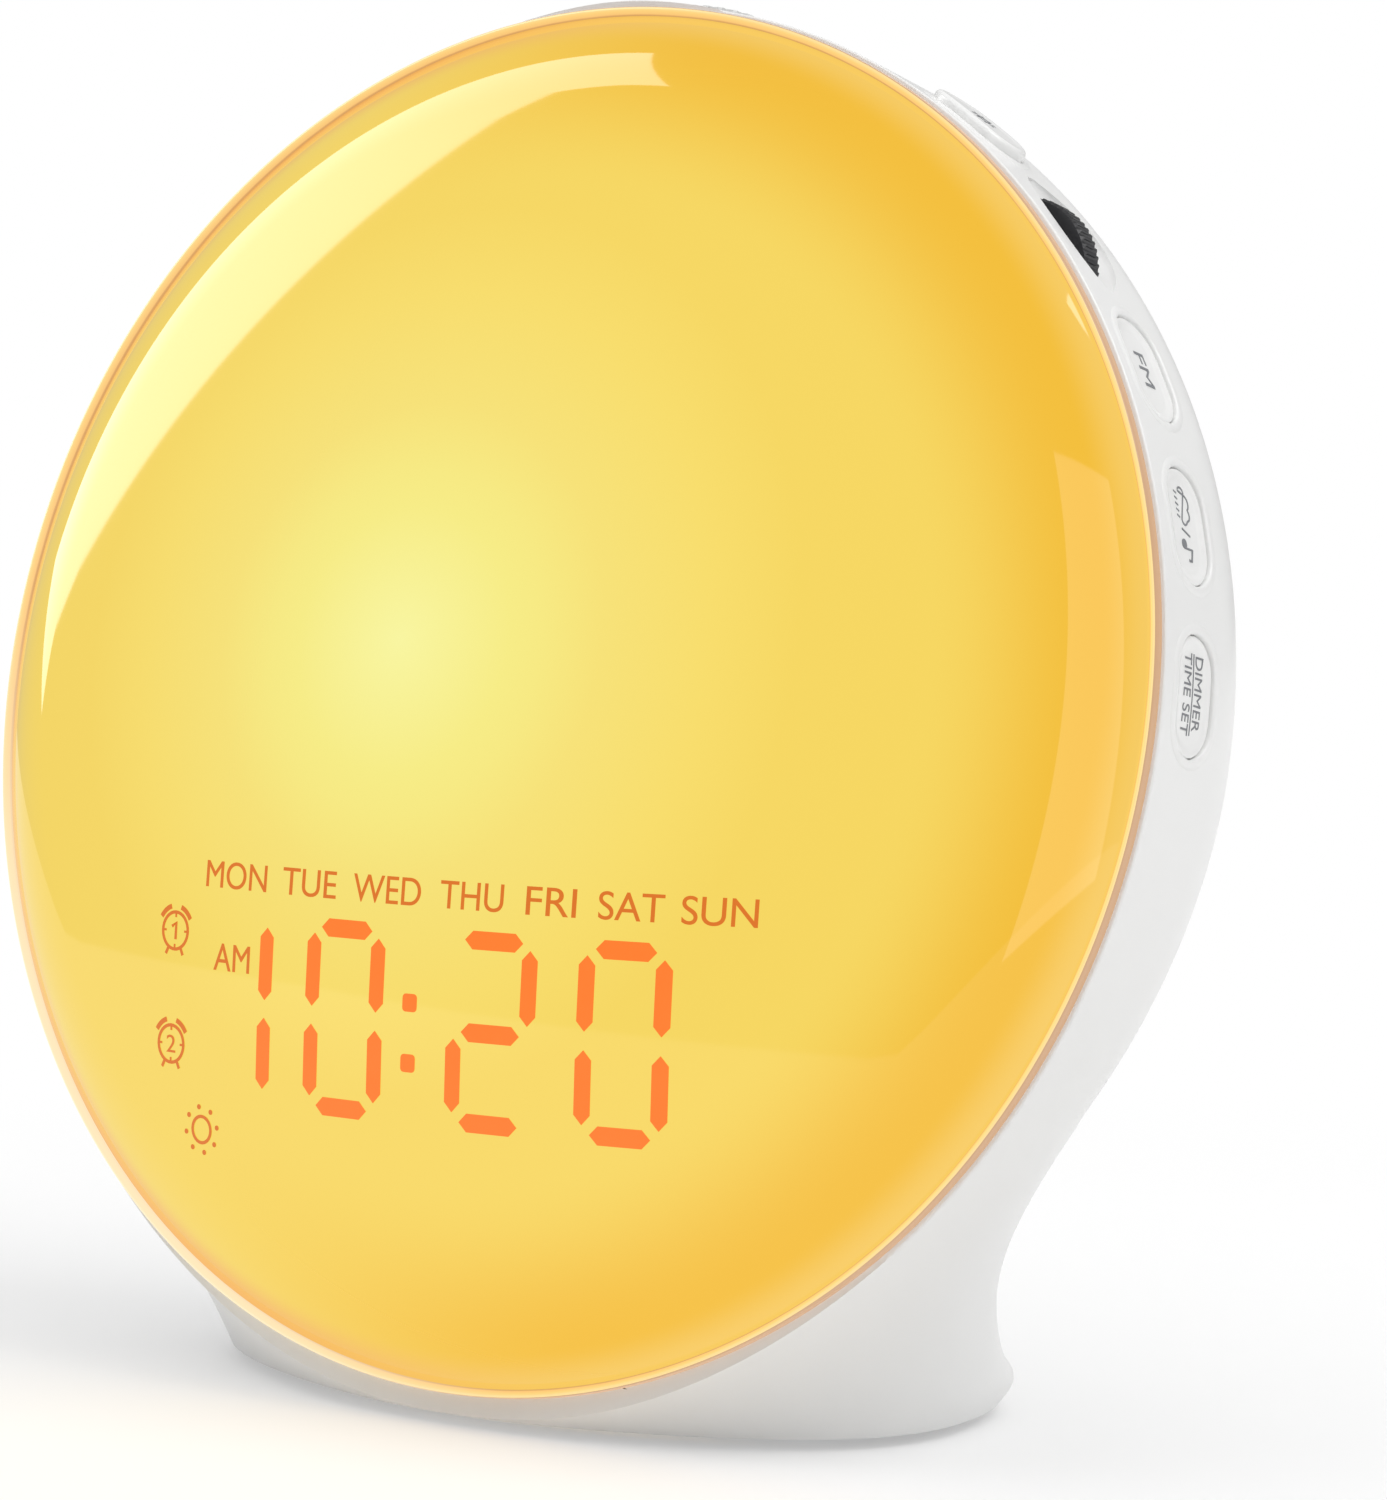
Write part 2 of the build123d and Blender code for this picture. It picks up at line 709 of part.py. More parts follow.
def make_reflector_pan():
    back = pan_back
    pan = polygon_about_y([
        (0, pan_floor_depth), (pan_floor_radius, pan_floor_depth), (pan_flange_inner, pan_front),
        (pan_radius, pan_front), (pan_radius, pan_front + pan_wall),
        (pan_flange_inner + 0.8, pan_front + pan_wall), (pan_floor_radius + 0.8, back), (0, back)])
    gap = seat_gap
    pan -= box_between(-display_half_width - gap, display_half_width + gap, -5, back + 5,
                       display_bottom - gap, display_top + gap)
    for x in (-board_post_x, board_post_x):
        for z in board_posts_z:
            pan += cylinder_along_y(post_radius, back - 0.2, main_board_depth, x, z)
            hole_start = main_board_depth + board_thickness - board_screw_length - seat_gap
            pan -= cylinder_along_y(screw_shank_radius + screw_hole_clearance, hole_start,
                                    main_board_depth + 1, x, z)
    for angle in pan_screw_angles:
        a = radians(angle)
        pan -= cylinder_along_y(screw_shank_radius + seat_gap, 0, 6,
                                pan_screw_radius * cos(a), pan_screw_radius * sin(a))
    return face_to_standing * pan


def make_led_board():
    back = pan_floor_depth
    return face_to_standing * cylinder_along_y(led_board_radius, back - board_thickness, back, 0, led_board_centre)


def make_light_leds():
    back = pan_floor_depth - board_thickness
    chips = []
    for radius, count in led_rings:
        for i in range(count):
            t = 2 * pi * i / count
            x, z = radius * cos(t), led_board_centre + radius * sin(t)
            half = led_size / 2
            chips.append(face_to_standing * box_between(x - half, x + half, back - led_height, back,
                                                        z - half, z + half))
    return chips


def display_box(inset, front, back):
    return box_between(-display_half_width + inset, display_half_width - inset, front, back,
                       display_bottom + inset, display_top - inset)


mask_front = dome_wall + display_cover_gap


def make_display_shroud():
    tube = display_box(0, -dome_rise, pan_back) - display_box(display_wall, -2 * dome_rise, 2 * pan_back)
    room = dome_space(mask_front + mask_thickness) + display_box(-1, 0, pan_back)
    return face_to_standing * (tube & room)


def segment_bar(name, left):
    """One bar of a seven-segment digit, with pointed ends."""
    half_h, w = digit_height / 2, segment_width
    inset = w / 2 + 0.25
    right, low, high = left + digit_width - w, digit_middle - half_h, digit_middle + half_h
    x0, x1 = left + w / 2, right + w / 2
    ends = {"a": ((x0, high - w / 2), (x1, high - w / 2)), "d": ((x0, low + w / 2), (x1, low + w / 2)),
            "g": ((x0, digit_middle), (x1, digit_middle)), "b": ((x1, digit_middle), (x1, high - w / 2)),
            "c": ((x1, low + w / 2), (x1, digit_middle)), "e": ((x0, low + w / 2), (x0, digit_middle)),
            "f": ((x0, digit_middle), (x0, high - w / 2))}
    (ax, az), (bx, bz) = ends[name]
    flat = az == bz
    if flat:
        ax, bx = ax + 0.25, bx - 0.25
        points = [(ax, az), (ax + inset, az + w / 2), (bx - inset, az + w / 2), (bx, az),
                  (bx - inset, az - w / 2), (ax + inset, az - w / 2)]
    else:
        az, bz = az + 0.25, bz - 0.25
        points = [(ax, az), (ax + w / 2, az + inset), (ax + w / 2, bz - inset), (ax, bz),
                  (ax - w / 2, bz - inset), (ax - w / 2, az + inset)]
    plane = Plane(origin=(0, 0, 0), x_dir=(1, 0, 0), z_dir=(0, -1, 0))
    return extrude(plane * make_face(Polyline(*points, close=True)), 2 * dome_rise, both=True)


def lit_bars():
    bars = []
    for left, names in zip(digit_lefts, digit_segments):
        start = left - digit_width + segment_width if names == "bc" else left
        bars += [segment_bar(name, start) for name in names]
    for z in (-colon_spread / 2, colon_spread / 2):
        half = colon_size / 2
        bars.append(box_between(colon_left - half, colon_left + half, -2 * dome_rise, 2 * dome_rise,
                                digit_middle + z - half, digit_middle + z + half))
    return bars


def mask_layer():
    layer = dome_space(mask_front) - dome_space(mask_front + mask_thickness)
    return layer & cylinder_along_y(mask_radius, -2 * dome_rise, 0)


def make_display_mask():
    layer = mask_layer() & box_between(-mask_half_width, mask_half_width, -2 * dome_rise, 0,
                                       mask_bottom, mask_top)
    for bar in lit_bars():
        layer -= bar
    return face_to_standing * layer


def make_display_segments():
    layer = mask_layer()
    return [face_to_standing * (bar & layer) for bar in lit_bars()]


def make_display_board():
    front = pan_back
    return face_to_standing * box_between(-display_half_width - 2, display_half_width + 2, front,
                                          front + board_thickness, display_bottom - 2, display_top + 2)


def make_display_leds():
    chips = []
    back = pan_back
    half = led_size / 2
    for left in (-26.0, -15.0, -5.0, 6.0, 15.0, 25.0):
        for z in (digit_middle - 6, digit_middle + 6):
            chips.append(face_to_standing * box_between(left - half, left + half, back - led_height, back,
                                                        z - half, z + half))
    return chips


# ---------------------------------------------------------------- main board

def make_main_board():
    board = box_between(-main_board_half_width, main_board_half_width, main_board_depth,
                        main_board_depth + board_thickness, main_board_bottom, main_board_top)
    for x in (-board_post_x, board_post_x):
        for z in board_posts_z:
            board -= cylinder_along_y(screw_shank_radius + seat_gap, main_board_depth - 1,
                                      main_board_depth + 3, x, z)
    return face_to_standing * board


def make_main_board_parts():
    """Chips, cans, coils and sockets on the two faces of the main board."""
    front, back = main_board_depth, main_board_depth + board_thickness
    blocks = [(-12, 2, back, back + 1.6, 14, 28), (14, 22, back, back + 1.4, 18, 26),
              (-32, -24, back, back + 2.0, 4, 9), (20, 31, back, back + 4.0, -16, -10),
              (-20, -4, front - 5.0, front, -12, -6), (8, 20, front - 5.0, front, -12, -6),
              (-8, 4, front - 1.6, front, 8, 20), (26, 32, front - 3.0, front, 10, 16)]
    group = [box_between(*block) for block in blocks]
    cans = [(-26.0, 18.0, 4.0), (-26.0, -2.0, 4.0), (18.0, 6.0, 3.2)]
    group += [cylinder_along_y(radius, pan_back + tall_part_gap, front, x, z) for x, z, radius in cans]
    return [face_to_standing * piece for piece in group]


# ---------------------------------------------------------------- speaker

def make_speaker_basket():
    mouth, throat = speaker_seat - speaker_flange, speaker_seat - speaker_flange - basket_depth
    wall = basket_wall
    hub = basket_throat - basket_hub_width
    basket = polygon_about_y([
        (basket_throat, throat), (basket_mouth + wall, mouth), (speaker_radius, mouth),
        (speaker_radius, speaker_seat), (basket_mouth - wall, speaker_seat), (basket_mouth - wall, mouth),
        (basket_throat - wall, throat + wall), (hub, throat + wall), (hub, throat)])
    for x, z in screw_ring(speaker_screw_radius):
        basket -= cylinder_along_y(screw_shank_radius + seat_gap, mouth - 1, speaker_seat + 1, x, z)
    return face_to_standing * Pos(0, 0, speaker_height) * basket


def make_speaker_magnet():
    back = speaker_seat - speaker_flange - basket_depth
    return face_to_standing * cylinder_along_y(magnet_radius, back - magnet_depth, back, 0, speaker_height)


def make_speaker_cone():
    """Paper cone whose soft edge is held inside the basket's mouth."""
    seat = speaker_seat - cone_gap - surround_width
    throat = seat + surround_width - cone_depth
    rim = basket_mouth - basket_wall
    wide = rim - surround_width
    cone = polygon_about_y([
        (0, throat), (cone_throat, throat), (wide, seat), (rim, seat), (rim, seat + cone_wall),
        (wide, seat + cone_wall), (cone_throat, throat + cone_wall), (0, throat + 2 * cone_wall)])
    return face_to_standing * Pos(0, 0, speaker_height) * cone


# ---------------------------------------------------------------- foot

def make_base_plate():
    z0, z1 = plate_height, plate_height + plate_thick
    plate = oval_prism(shell_wall + plate_clearance, z0, z1)
    plate -= Pos(0, battery_y, z0) * Cylinder(cover_radius + cover_clearance, 20)
    ring_outer = cover_radius + cover_clearance + cup_wall
    cup_inner = cell_radius + cell_clearance
    cell_top = z1 + cover_clearance + cell_height + contact_thickness
    cup = polygon_ring([
        (cover_radius + cover_clearance, z1 - 0.5), (ring_outer, z1 - 0.5), (ring_outer, cell_top + cup_wall),
        (0, cell_top + cup_wall), (0, cell_top), (cup_inner, cell_top), (cup_inner, z1 + cover_clearance),
        (cup_inner + cup_wall, z1 + cover_clearance), (cup_inner + cup_wall, cell_top),
        (cover_radius + cover_clearance, cell_top)])
    plate += Pos(0, battery_y, 0) * cup
    plate += box_between(-jack_half - 1, jack_half + 1, battery_y + cover_radius + cover_clearance,
                         jack_body_back, z1 - 0.2, jack_height - jack_half)
    for x in (-base_screw_x, base_screw_x):
        for y in base_screw_ys:
            plate -= Pos(x, y, z0) * Cylinder(screw_shank_radius + seat_gap, 10)
            plate -= Pos(x, y, z0) * Cylinder(screw_head_radius + seat_gap, 2 * base_head_sink)
    for x in (-foot_pad_x, foot_pad_x):
        for y in foot_pad_ys:
            plate -= Pos(x, y, z0) * Cylinder(foot_pad_radius + seat_gap / 2, 2 * foot_pad_sink)
    return plate


def polygon_ring(points):
    """Revolved about the standing Z axis from (radius, height) points."""
    face = make_face(Plane.XZ * Polyline(*points, close=True))
    return revolve(face, Axis.Z)


def make_rubber_feet():
    pads = []
    top = plate_height + foot_pad_sink
    for x in (-foot_pad_x, foot_pad_x):
        for y in foot_pad_ys:
            pad = Pos(x, y, top / 2) * Cylinder(foot_pad_radius, top)
            pads.append(fillet(pad.edges().filter_by(GeomType.CIRCLE).sort_by(Axis.Z)[0], 0.5))
    return pads


def make_battery_cover():
    z0 = plate_height
    cover = Pos(0, battery_y, z0 + plate_thick / 2) * Cylinder(cover_radius, plate_thick)
    cover -= Pos(0, battery_y, z0) * Box(coin_slot_length, coin_slot_width, 2 * coin_slot_depth)
    return cover


def make_coin_cell():
    low = plate_height + plate_thick + cover_clearance
    return Pos(0, battery_y, low + cell_height / 2) * Cylinder(cell_radius, cell_height)


def make_battery_contact():
    low = plate_height + plate_thick + cover_clearance + cell_height
    plate = Pos(0, battery_y, low + contact_thickness / 2) * Cylinder(cell_radius - 1, contact_thickness)
    return plate


def make_dc_jack():
    body = box_between(-jack_half, jack_half, jack_body_back - jack_length, jack_body_back,
                       jack_height - jack_half, jack_height + jack_half)
    nose = Pos(0, 0, jack_height) * cylinder_along_y(jack_nose_radius, jack_body_back - 1, jack_mouth)
    bore = Pos(0, 0, jack_height) * cylinder_along_y(jack_bore_radius, jack_mouth - jack_bore_depth,
                                                     jack_mouth + 1)
    return body + nose - bore


def make_dc_jack_pin():
    back = jack_mouth - jack_bore_depth
    return Pos(0, 0, jack_height) * cylinder_along_y(jack_pin_radius, back, jack_mouth - 1.5)


# ---------------------------------------------------------------- fasteners

def screw(shank_length):
    """Pan-head screw, head up along Z, seated at the origin."""
    head = Pos(0, 0, screw_head_height / 2) * Cylinder(screw_head_radius, screw_head_height)
    head = fillet(head.edges().filter_by(GeomType.CIRCLE).sort_by(Axis.Z)[-1], 0.5)
    cross = Pos(0, 0, screw_head_height) * (Box(2.4, 0.5, 1.2) + Box(0.5, 2.4, 1.2))
    shank = Pos(0, 0, -shank_length / 2) * Cylinder(screw_shank_radius, shank_length)
    return head + shank - cross


def make_pan_screws():
    group = []
    for angle in pan_screw_angles:
        a = radians(angle)
        place = Pos(pan_screw_radius * cos(a), pan_front, pan_screw_radius * sin(a)) * Rot(90, 0, 0)
        group.append(face_to_standing * place * screw(pan_screw_length))
    return group


def make_board_screws():
    seat = main_board_depth + board_thickness
    return [face_to_standing * Pos(x, seat, z) * Rot(-90, 0, 0) * screw(board_screw_length)
            for x in (-board_post_x, board_post_x) for z in board_posts_z]


def make_speaker_screws():
    seat = speaker_seat - speaker_flange
    return [face_to_standing * Pos(x, seat, speaker_height + z) * Rot(90, 0, 0) * screw(speaker_screw_length)
            for x, z in screw_ring(speaker_screw_radius)]


def make_base_screws():
    seat = plate_height + base_head_sink
    return [Pos(x, y, seat) * Rot(180, 0, 0) * flat_screw(base_screw_length)
            for x in (-base_screw_x, base_screw_x) for y in base_screw_ys]


def flat_screw(shank_length):
    """Low-head screw whose head stays inside the plate, head up along Z."""
    head = Pos(0, 0, 0.35) * Cylinder(screw_head_radius, 0.7)
    cross = Pos(0, 0, 0.7) * (Box(2.4, 0.5, 0.6) + Box(0.5, 2.4, 0.6))
    shank = Pos(0, 0, -shank_length / 2) * Cylinder(screw_shank_radius, shank_length)
    return head + shank - cross


# ---------------------------------------------------------------- assembly

def make_all():
    right, left = key_angles("right"), key_angles("left")
    key_names = {"button_time": right[0], "button_sound": right[1], "button_fm": right[2],
                 "button_light": right[3], "button_alarm_2": left[0], "button_alarm_1": left[1],
                 "button_minus": left[2], "button_plus": left[3], "button_colour": left[4]}
    high_keys = ("button_light", "button_colour")
    parts = {
        "diffuser_dome": face_to_standing * make_diffuser_dome(),
        "main_housing": make_main_housing(),
        "reflector_pan": make_reflector_pan(),
        "led_board": make_led_board(),
        "light_leds": make_light_leds(),
        "display_shroud": make_display_shroud(),
        "display_mask": make_display_mask(),
        "display_segments": make_display_segments(),
        "display_board": make_display_board(),
        "display_leds": make_display_leds(),
        "main_board": make_main_board(),
        "main_board_parts": make_main_board_parts(),
        "volume_wheel": face_to_standing * make_volume_wheel(),
        "volume_pot": face_to_standing * make_volume_pot(),
        "volume_board": face_to_standing * make_volume_board(),
        "top_dial": make_top_dial(),
        "dial_shaft": make_dial_shaft(),
        "dial_push_plate": make_dial_push_plate(),
        "encoder_case": make_encoder_case(),
        "dial_board": make_dial_board(),
        "speaker_basket": make_speaker_basket(),
        "speaker_magnet": make_speaker_magnet(),
        "speaker_cone": make_speaker_cone(),
        "speaker_screws": make_speaker_screws(),
        "base_plate": make_base_plate(),
        "rubber_feet": make_rubber_feet(),
        "battery_cover": make_battery_cover(),
        "coin_cell": make_coin_cell(),
        "battery_contact": make_battery_contact(),
        "dc_jack": make_dc_jack(),
        "dc_jack_pin": make_dc_jack_pin(),
        "pan_screws": make_pan_screws(),
        "board_screws": make_board_screws(),
        "base_screws": make_base_screws(),
    }
    for name, angle in key_names.items():
        proud = high_key_raise if name in high_keys else -key_sink
        parts[name] = face_to_standing * make_key(angle, proud)
    for side in ("right", "left"):
        parts[f"key_boards_{side}"] = [face_to_standing * piece for piece in make_key_boards(side)]
        parts[f"key_switches_{side}"] = [face_to_standing * piece for piece in make_switches(side)]
    return parts


def as_shape(piece):
    return Compound(children=list(piece)) if isinstance(piece, list) else piece


def write_all(parts):
    os.makedirs("parts", exist_ok=True)
    shapes = {name: as_shape(piece) for name, piece in parts.items()}
    boxes = [shape.bounding_box() for shape in shapes.values()]
    middle = (min(box.min.Y for box in boxes) + max(box.max.Y for box in boxes)) / 2
    for name, shape in shapes.items():
        export_step(Pos(0, -middle, 0) * shape, f"parts/{name}.step")
    print("face centre at y", round(-middle, 4), "z", face_centre_height)


write_all(make_all())
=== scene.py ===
import bpy
import bmesh
import json
import numpy as np
from math import asin, cos, degrees, pi, radians, sin, sqrt, tan
from mathutils import Matrix, Vector


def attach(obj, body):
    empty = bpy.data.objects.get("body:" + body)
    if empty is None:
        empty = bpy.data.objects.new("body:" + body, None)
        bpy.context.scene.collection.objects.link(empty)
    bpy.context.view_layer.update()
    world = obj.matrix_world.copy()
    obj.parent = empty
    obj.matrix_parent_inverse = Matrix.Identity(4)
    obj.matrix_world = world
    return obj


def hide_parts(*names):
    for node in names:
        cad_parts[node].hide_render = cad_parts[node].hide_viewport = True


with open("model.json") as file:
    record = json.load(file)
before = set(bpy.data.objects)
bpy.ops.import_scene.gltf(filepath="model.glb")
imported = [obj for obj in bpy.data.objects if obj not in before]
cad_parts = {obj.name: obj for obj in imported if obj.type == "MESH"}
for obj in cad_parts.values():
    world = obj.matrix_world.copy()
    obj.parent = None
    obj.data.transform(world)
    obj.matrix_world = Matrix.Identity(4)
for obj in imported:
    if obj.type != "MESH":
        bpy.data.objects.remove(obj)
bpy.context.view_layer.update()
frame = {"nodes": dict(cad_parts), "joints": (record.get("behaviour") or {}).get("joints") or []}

# Lengths are millimetres until a piece is placed, then metres.
# Two frames: the standing frame of the CAD, and the face frame, which leans back with the round face.
# In the face frame X is to the right, Y to the rear, Z up along the face, from the centre of its rim.
mm = 0.001
# closer points are one point
weld = 0.0005
stance = {"lean": 12.1, "rimHeight": 3.66, "bandRadius": 88.1, "dialDepth": 24.5, "dialSeat": 87.2,
          "dialLean": 8.0}

lean = radians(stance["lean"])
faceHeight = stance["rimHeight"] + stance["bandRadius"] * cos(lean)
dialJoint = next(joint for joint in frame["joints"] if joint["name"] == "dial_turn")
faceY = Vector(dialJoint["pos_m"]).y - (stance["dialDepth"] * cos(lean) + stance["dialSeat"] * sin(lean)) * mm
faceCentre = Vector((0, faceY, faceHeight * mm))
faceToWorld = Matrix.Translation(faceCentre) @ Matrix.Rotation(-lean, 4, "X")
faceToWorld = faceToWorld @ Matrix.Scale(mm, 4)
worldToFace = faceToWorld.inverted()
standToWorld = Matrix.Translation((0, faceY, 0)) @ Matrix.Scale(mm, 4)


# small helpers

def linear(hexColour):
    channels = [int(hexColour[i:i + 2], 16) / 255 for i in (1, 3, 5)]
    return [c / 12.92 if c <= 0.04045 else ((c + 0.055) / 1.055) ** 2.4 for c in channels] + [1.0]


def arc(centre, radius, start, end, steps):
    turns = [radians(start + (end - start) * i / steps) for i in range(steps + 1)]
    return [(centre[0] + radius * cos(t), centre[1] + radius * sin(t)) for t in turns]


def outward(bm):
    bmesh.ops.recalc_face_normals(bm, faces=bm.faces)


def shift(bm, matrix):
    bmesh.ops.transform(bm, matrix=matrix, verts=bm.verts)


def spun(profile, steps):
    # profile holds (radius, depth) points of a half section, spun about the depth axis
    bm = bmesh.new()
    points = [bm.verts.new((radius, depth, 0)) for radius, depth in profile]
    edges = [bm.edges.new(pair) for pair in zip(points, points[1:])]
    bmesh.ops.spin(bm, geom=points + edges, cent=(0, 0, 0), axis=(0, 1, 0), angle=2 * pi, steps=steps,
                   use_merge=True)
    bmesh.ops.remove_doubles(bm, verts=bm.verts, dist=weld)
    bmesh.ops.dissolve_degenerate(bm, edges=bm.edges, dist=weld)
    outward(bm)
    return bm


def newObject(name, data):
    made = bpy.data.objects.new(name, data)
    bpy.context.scene.collection.objects.link(made)
    return made


def addMesh(bm, name, place):
    # a new object whose mesh carries its place
    mesh = bpy.data.meshes.new(name)
    shift(bm, place)
    bm.to_mesh(mesh)
    bm.free()
    return newObject(name, mesh)


def finishPiece(piece, materials, body, replaced=(), sharp=35):
    piece.data.materials.clear()
    for mat in materials:
        piece.data.materials.append(mat)
    piece.data.shade_smooth()
    piece.data.set_sharp_from_angle(angle=radians(sharp))
    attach(piece, body)
    if replaced:
        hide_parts(*replaced)
    return piece


def applyModifiers(piece):
    depsgraph = bpy.context.evaluated_depsgraph_get()
    mesh = bpy.data.meshes.new_from_object(piece.evaluated_get(depsgraph))
    piece.modifiers.clear()
    old, piece.data = piece.data, mesh
    bpy.data.meshes.remove(old)


def removeObject(piece):
    mesh = piece.data
    bpy.data.objects.remove(piece)
    bpy.data.meshes.remove(mesh)


def booleanWith(piece, other, operation):
    cut = piece.modifiers.new("Boolean", "BOOLEAN")
    cut.operation = operation
    cut.solver = "EXACT"
    cut.use_self = True
    cut.object = other
    bpy.context.view_layer.update()
    applyModifiers(piece)
    removeObject(other)


# materials

def addNode(owner, kind, inputs=None, settings=None):
    # inputs hold plain values, hex colours, or outputs of other nodes to link
    node = owner.node_tree.nodes.new("ShaderNode" + kind)
    for name, value in (settings or {}).items():
        setattr(node, name, value)
    for name, value in (inputs or {}).items():
        if isinstance(value, bpy.types.NodeSocket):
            owner.node_tree.links.new(value, node.inputs[name])
        else:
            node.inputs[name].default_value = linear(value) if isinstance(value, str) else value
    return node


def startMaterial(name):
    mat = bpy.data.materials.new(name)
    mat.use_nodes = True
    mat.node_tree.nodes.clear()
    return mat


def endMaterial(mat, shader):
    addNode(mat, "OutputMaterial", {"Surface": shader.outputs[0]})
    return mat


def objectCoords(mat):
    return addNode(mat, "TexCoord").outputs["Object"]


def noise(mat, coords, size, detail):
    # cloudy noise, its features `size` mm apart
    inputs = {"Scale": 1 / (size * mm), "Detail": detail, "Vector": coords}
    return addNode(mat, "TexNoise", inputs).outputs["Fac"]


def relief(mat, height, strength, depth):
    return addNode(mat, "Bump", {"Height": height, "Strength": strength, "Distance": depth * mm}).outputs[0]


def ranged(mat, value, low, high):
    # value, which runs from 0 to 1, carried to low and high
    return addNode(mat, "MapRange", {"Value": value, "To Min": low, "To Max": high}).outputs[0]


def eased(mat, value, span, low=0.0, high=1.0):
    # a soft step from low to high while value, in metres, runs over a span in millimetres
    start, end = span
    inputs = {"Value": value, "From Min": start * mm, "From Max": end * mm, "To Min": low, "To Max": high}
    return addNode(mat, "MapRange", inputs, {"interpolation_type": "SMOOTHSTEP"}).outputs[0]


def blend(mat, amount, first, second):
    return addNode(mat, "Mix", {0: amount, 6: first, 7: second}, {"data_type": "RGBA"}).outputs[2]


def maths(mat, operation, first, second):
    return addNode(mat, "Math", {0: first, 1: second}, {"operation": operation}).outputs[0]


# moulded: size of the cloudiness, depth of the grain, and how far the roughness wanders
moulded = {"ior": 1.5, "cloud": 30, "depth": 0.02, "wander": (0.9, 1.15)}
brushed = {"stretch": (1, 1, 12), "strength": 0.2, "depth": 0.01, "wander": (0.8, 1.3)}


def plastic(name, colour, tint, roughness, grain, bump, coat=0.0):
    # injection moulded: a faint cloudiness of colour and, with a bump, a fine grain of `grain` mm
    mat = startMaterial(name)
    coords = objectCoords(mat)
    cloud = noise(mat, coords, moulded["cloud"], 3)
    inputs = {"Base Color": blend(mat, cloud, colour, tint), "Roughness": roughness,
              "IOR": moulded["ior"], "Coat Weight": coat}
    if bump:
        fine = noise(mat, coords, grain, 2)
        inputs["Roughness"] = ranged(mat, fine, *[roughness * share for share in moulded["wander"]])
        inputs["Normal"] = relief(mat, fine, bump, moulded["depth"])
    return endMaterial(mat, addNode(mat, "BsdfPrincipled", inputs))


def brushedMetal(name, colour, roughness, grain):
    # metal with fine lines along one axis
    mat = startMaterial(name)
    turned = addNode(mat, "Mapping", {"Scale": brushed["stretch"], "Vector": objectCoords(mat)}).outputs[0]
    lines = noise(mat, turned, grain, 3)
    rough = ranged(mat, lines, *[roughness * share for share in brushed["wander"]])
    shader = addNode(mat, "BsdfPrincipled",
                     {"Base Color": colour, "Metallic": 1.0, "Roughness": rough,
                      "Normal": relief(mat, lines, brushed["strength"], brushed["depth"])})
    return endMaterial(mat, shader)


def dress(mat, nodes):
    # a material for CAD nodes that stay
    for name in nodes.split():
        node = frame["nodes"][name]
        node.data.materials.clear()
        node.data.materials.append(mat)


# white ABS, polished mould: soft gloss with next to no grain
shellWhite = plastic("shellWhiteAbs", "#f3f3f2", "#efefee", 0.30, 0.35, 0.02, coat=0.15)
# the keys come from their own mould, a touch smoother
keyWhite = plastic("keyWhiteAbs", "#f4f4f3", "#f0f0ef", 0.27, 0.3, 0.0, coat=0.15)
# pale grey ABS with a satin etch
dress(plastic("dialPaleGreyAbs", "#dcdcdb", "#d5d5d4", 0.34, 0.3, 0.05), "top_dial")
# black ABS: dark, with a satin sheen on the knurl
dress(plastic("wheelBlackAbs", "#232326", "#2b2b2e", 0.32, 0.25, 0.08), "volume_wheel")
# spark-eroded grey ABS, visibly grainy and dull
dress(plastic("baseGreyAbs", "#b9bbbf", "#b2b4b8", 0.6, 0.5, 0.5), "base_plate battery_cover")
# natural rubber, dark and dull
dress(plastic("padRubber", "#222222", "#2b2b2b", 0.85, 0.4, 0.5), "rubber_feet")
# black moulded nylon of jack, switches and shroud
dress(plastic("caseBlackNylon", "#17181a", "#1e1f22", 0.5, 0.3, 0.2),
      "display_shroud main_board_parts volume_pot encoder_case dc_jack key_switches_right key_switches_left")
# natural acetal, milky and waxy
dress(plastic("shaftAcetal", "#e4e3dc", "#dad9d2", 0.35, 0.4, 0.05),
      "light_leds display_mask display_segments display_leds dial_shaft dial_push_plate")
# matte white reflector
dress(plastic("panMatteWhite", "#f4f3ef", "#eeede8", 0.7, 0.5, 0.1), "reflector_pan")
# solder mask over glass fibre: green with a faint weave
dress(plastic("boardSolderMask", "#1d5a35", "#174c2c", 0.35, 0.8, 0.15),
      "led_board display_board main_board volume_board dial_board key_boards_right key_boards_left")
# grey pad-printed ink
inkGrey = plastic("inkWarmGrey", "#85878a", "#7d7f83", 0.5, 0.15, 0.05)
# nickel and zinc plating
dress(brushedMetal("platedSteel", "#b9bcc0", 0.28, 0.2),
      "base_screws speaker_screws coin_cell battery_contact dc_jack_pin pan_screws board_screws")
# pressed steel under thin black lacquer
dress(plastic("basketBlackLacquer", "#202224", "#292b2e", 0.4, 0.4, 0.1), "speaker_basket")
# strontium ferrite, nearly black and stony
dress(plastic("magnetFerrite", "#2c2c2e", "#353537", 0.7, 0.6, 0.4), "speaker_magnet")
# pressed paper pulp of the cone
dress(plastic("conePressedPaper", "#1d1d1e", "#28282a", 0.9, 0.7, 0.7), "speaker_cone")
print("materials made")


# the glowing front

glow = {
    "rise": 15.0, "sphere": 305.0, "shoulder": 75.0, "wall": 2.0, "foot": 86.4, "footDepth": 0.8,
    "rim": 87.5, "edge": 0.4, "thickness": 1.6, "skirt": 85.0, "skirtInner": 83.2, "skirtEnd": 4.0,
    "steps": 256, "sphereSteps": 30, "innerSteps": 16, "turnSteps": 16, "sideRadius": 87.4, "sideDepth": 0.16,
}
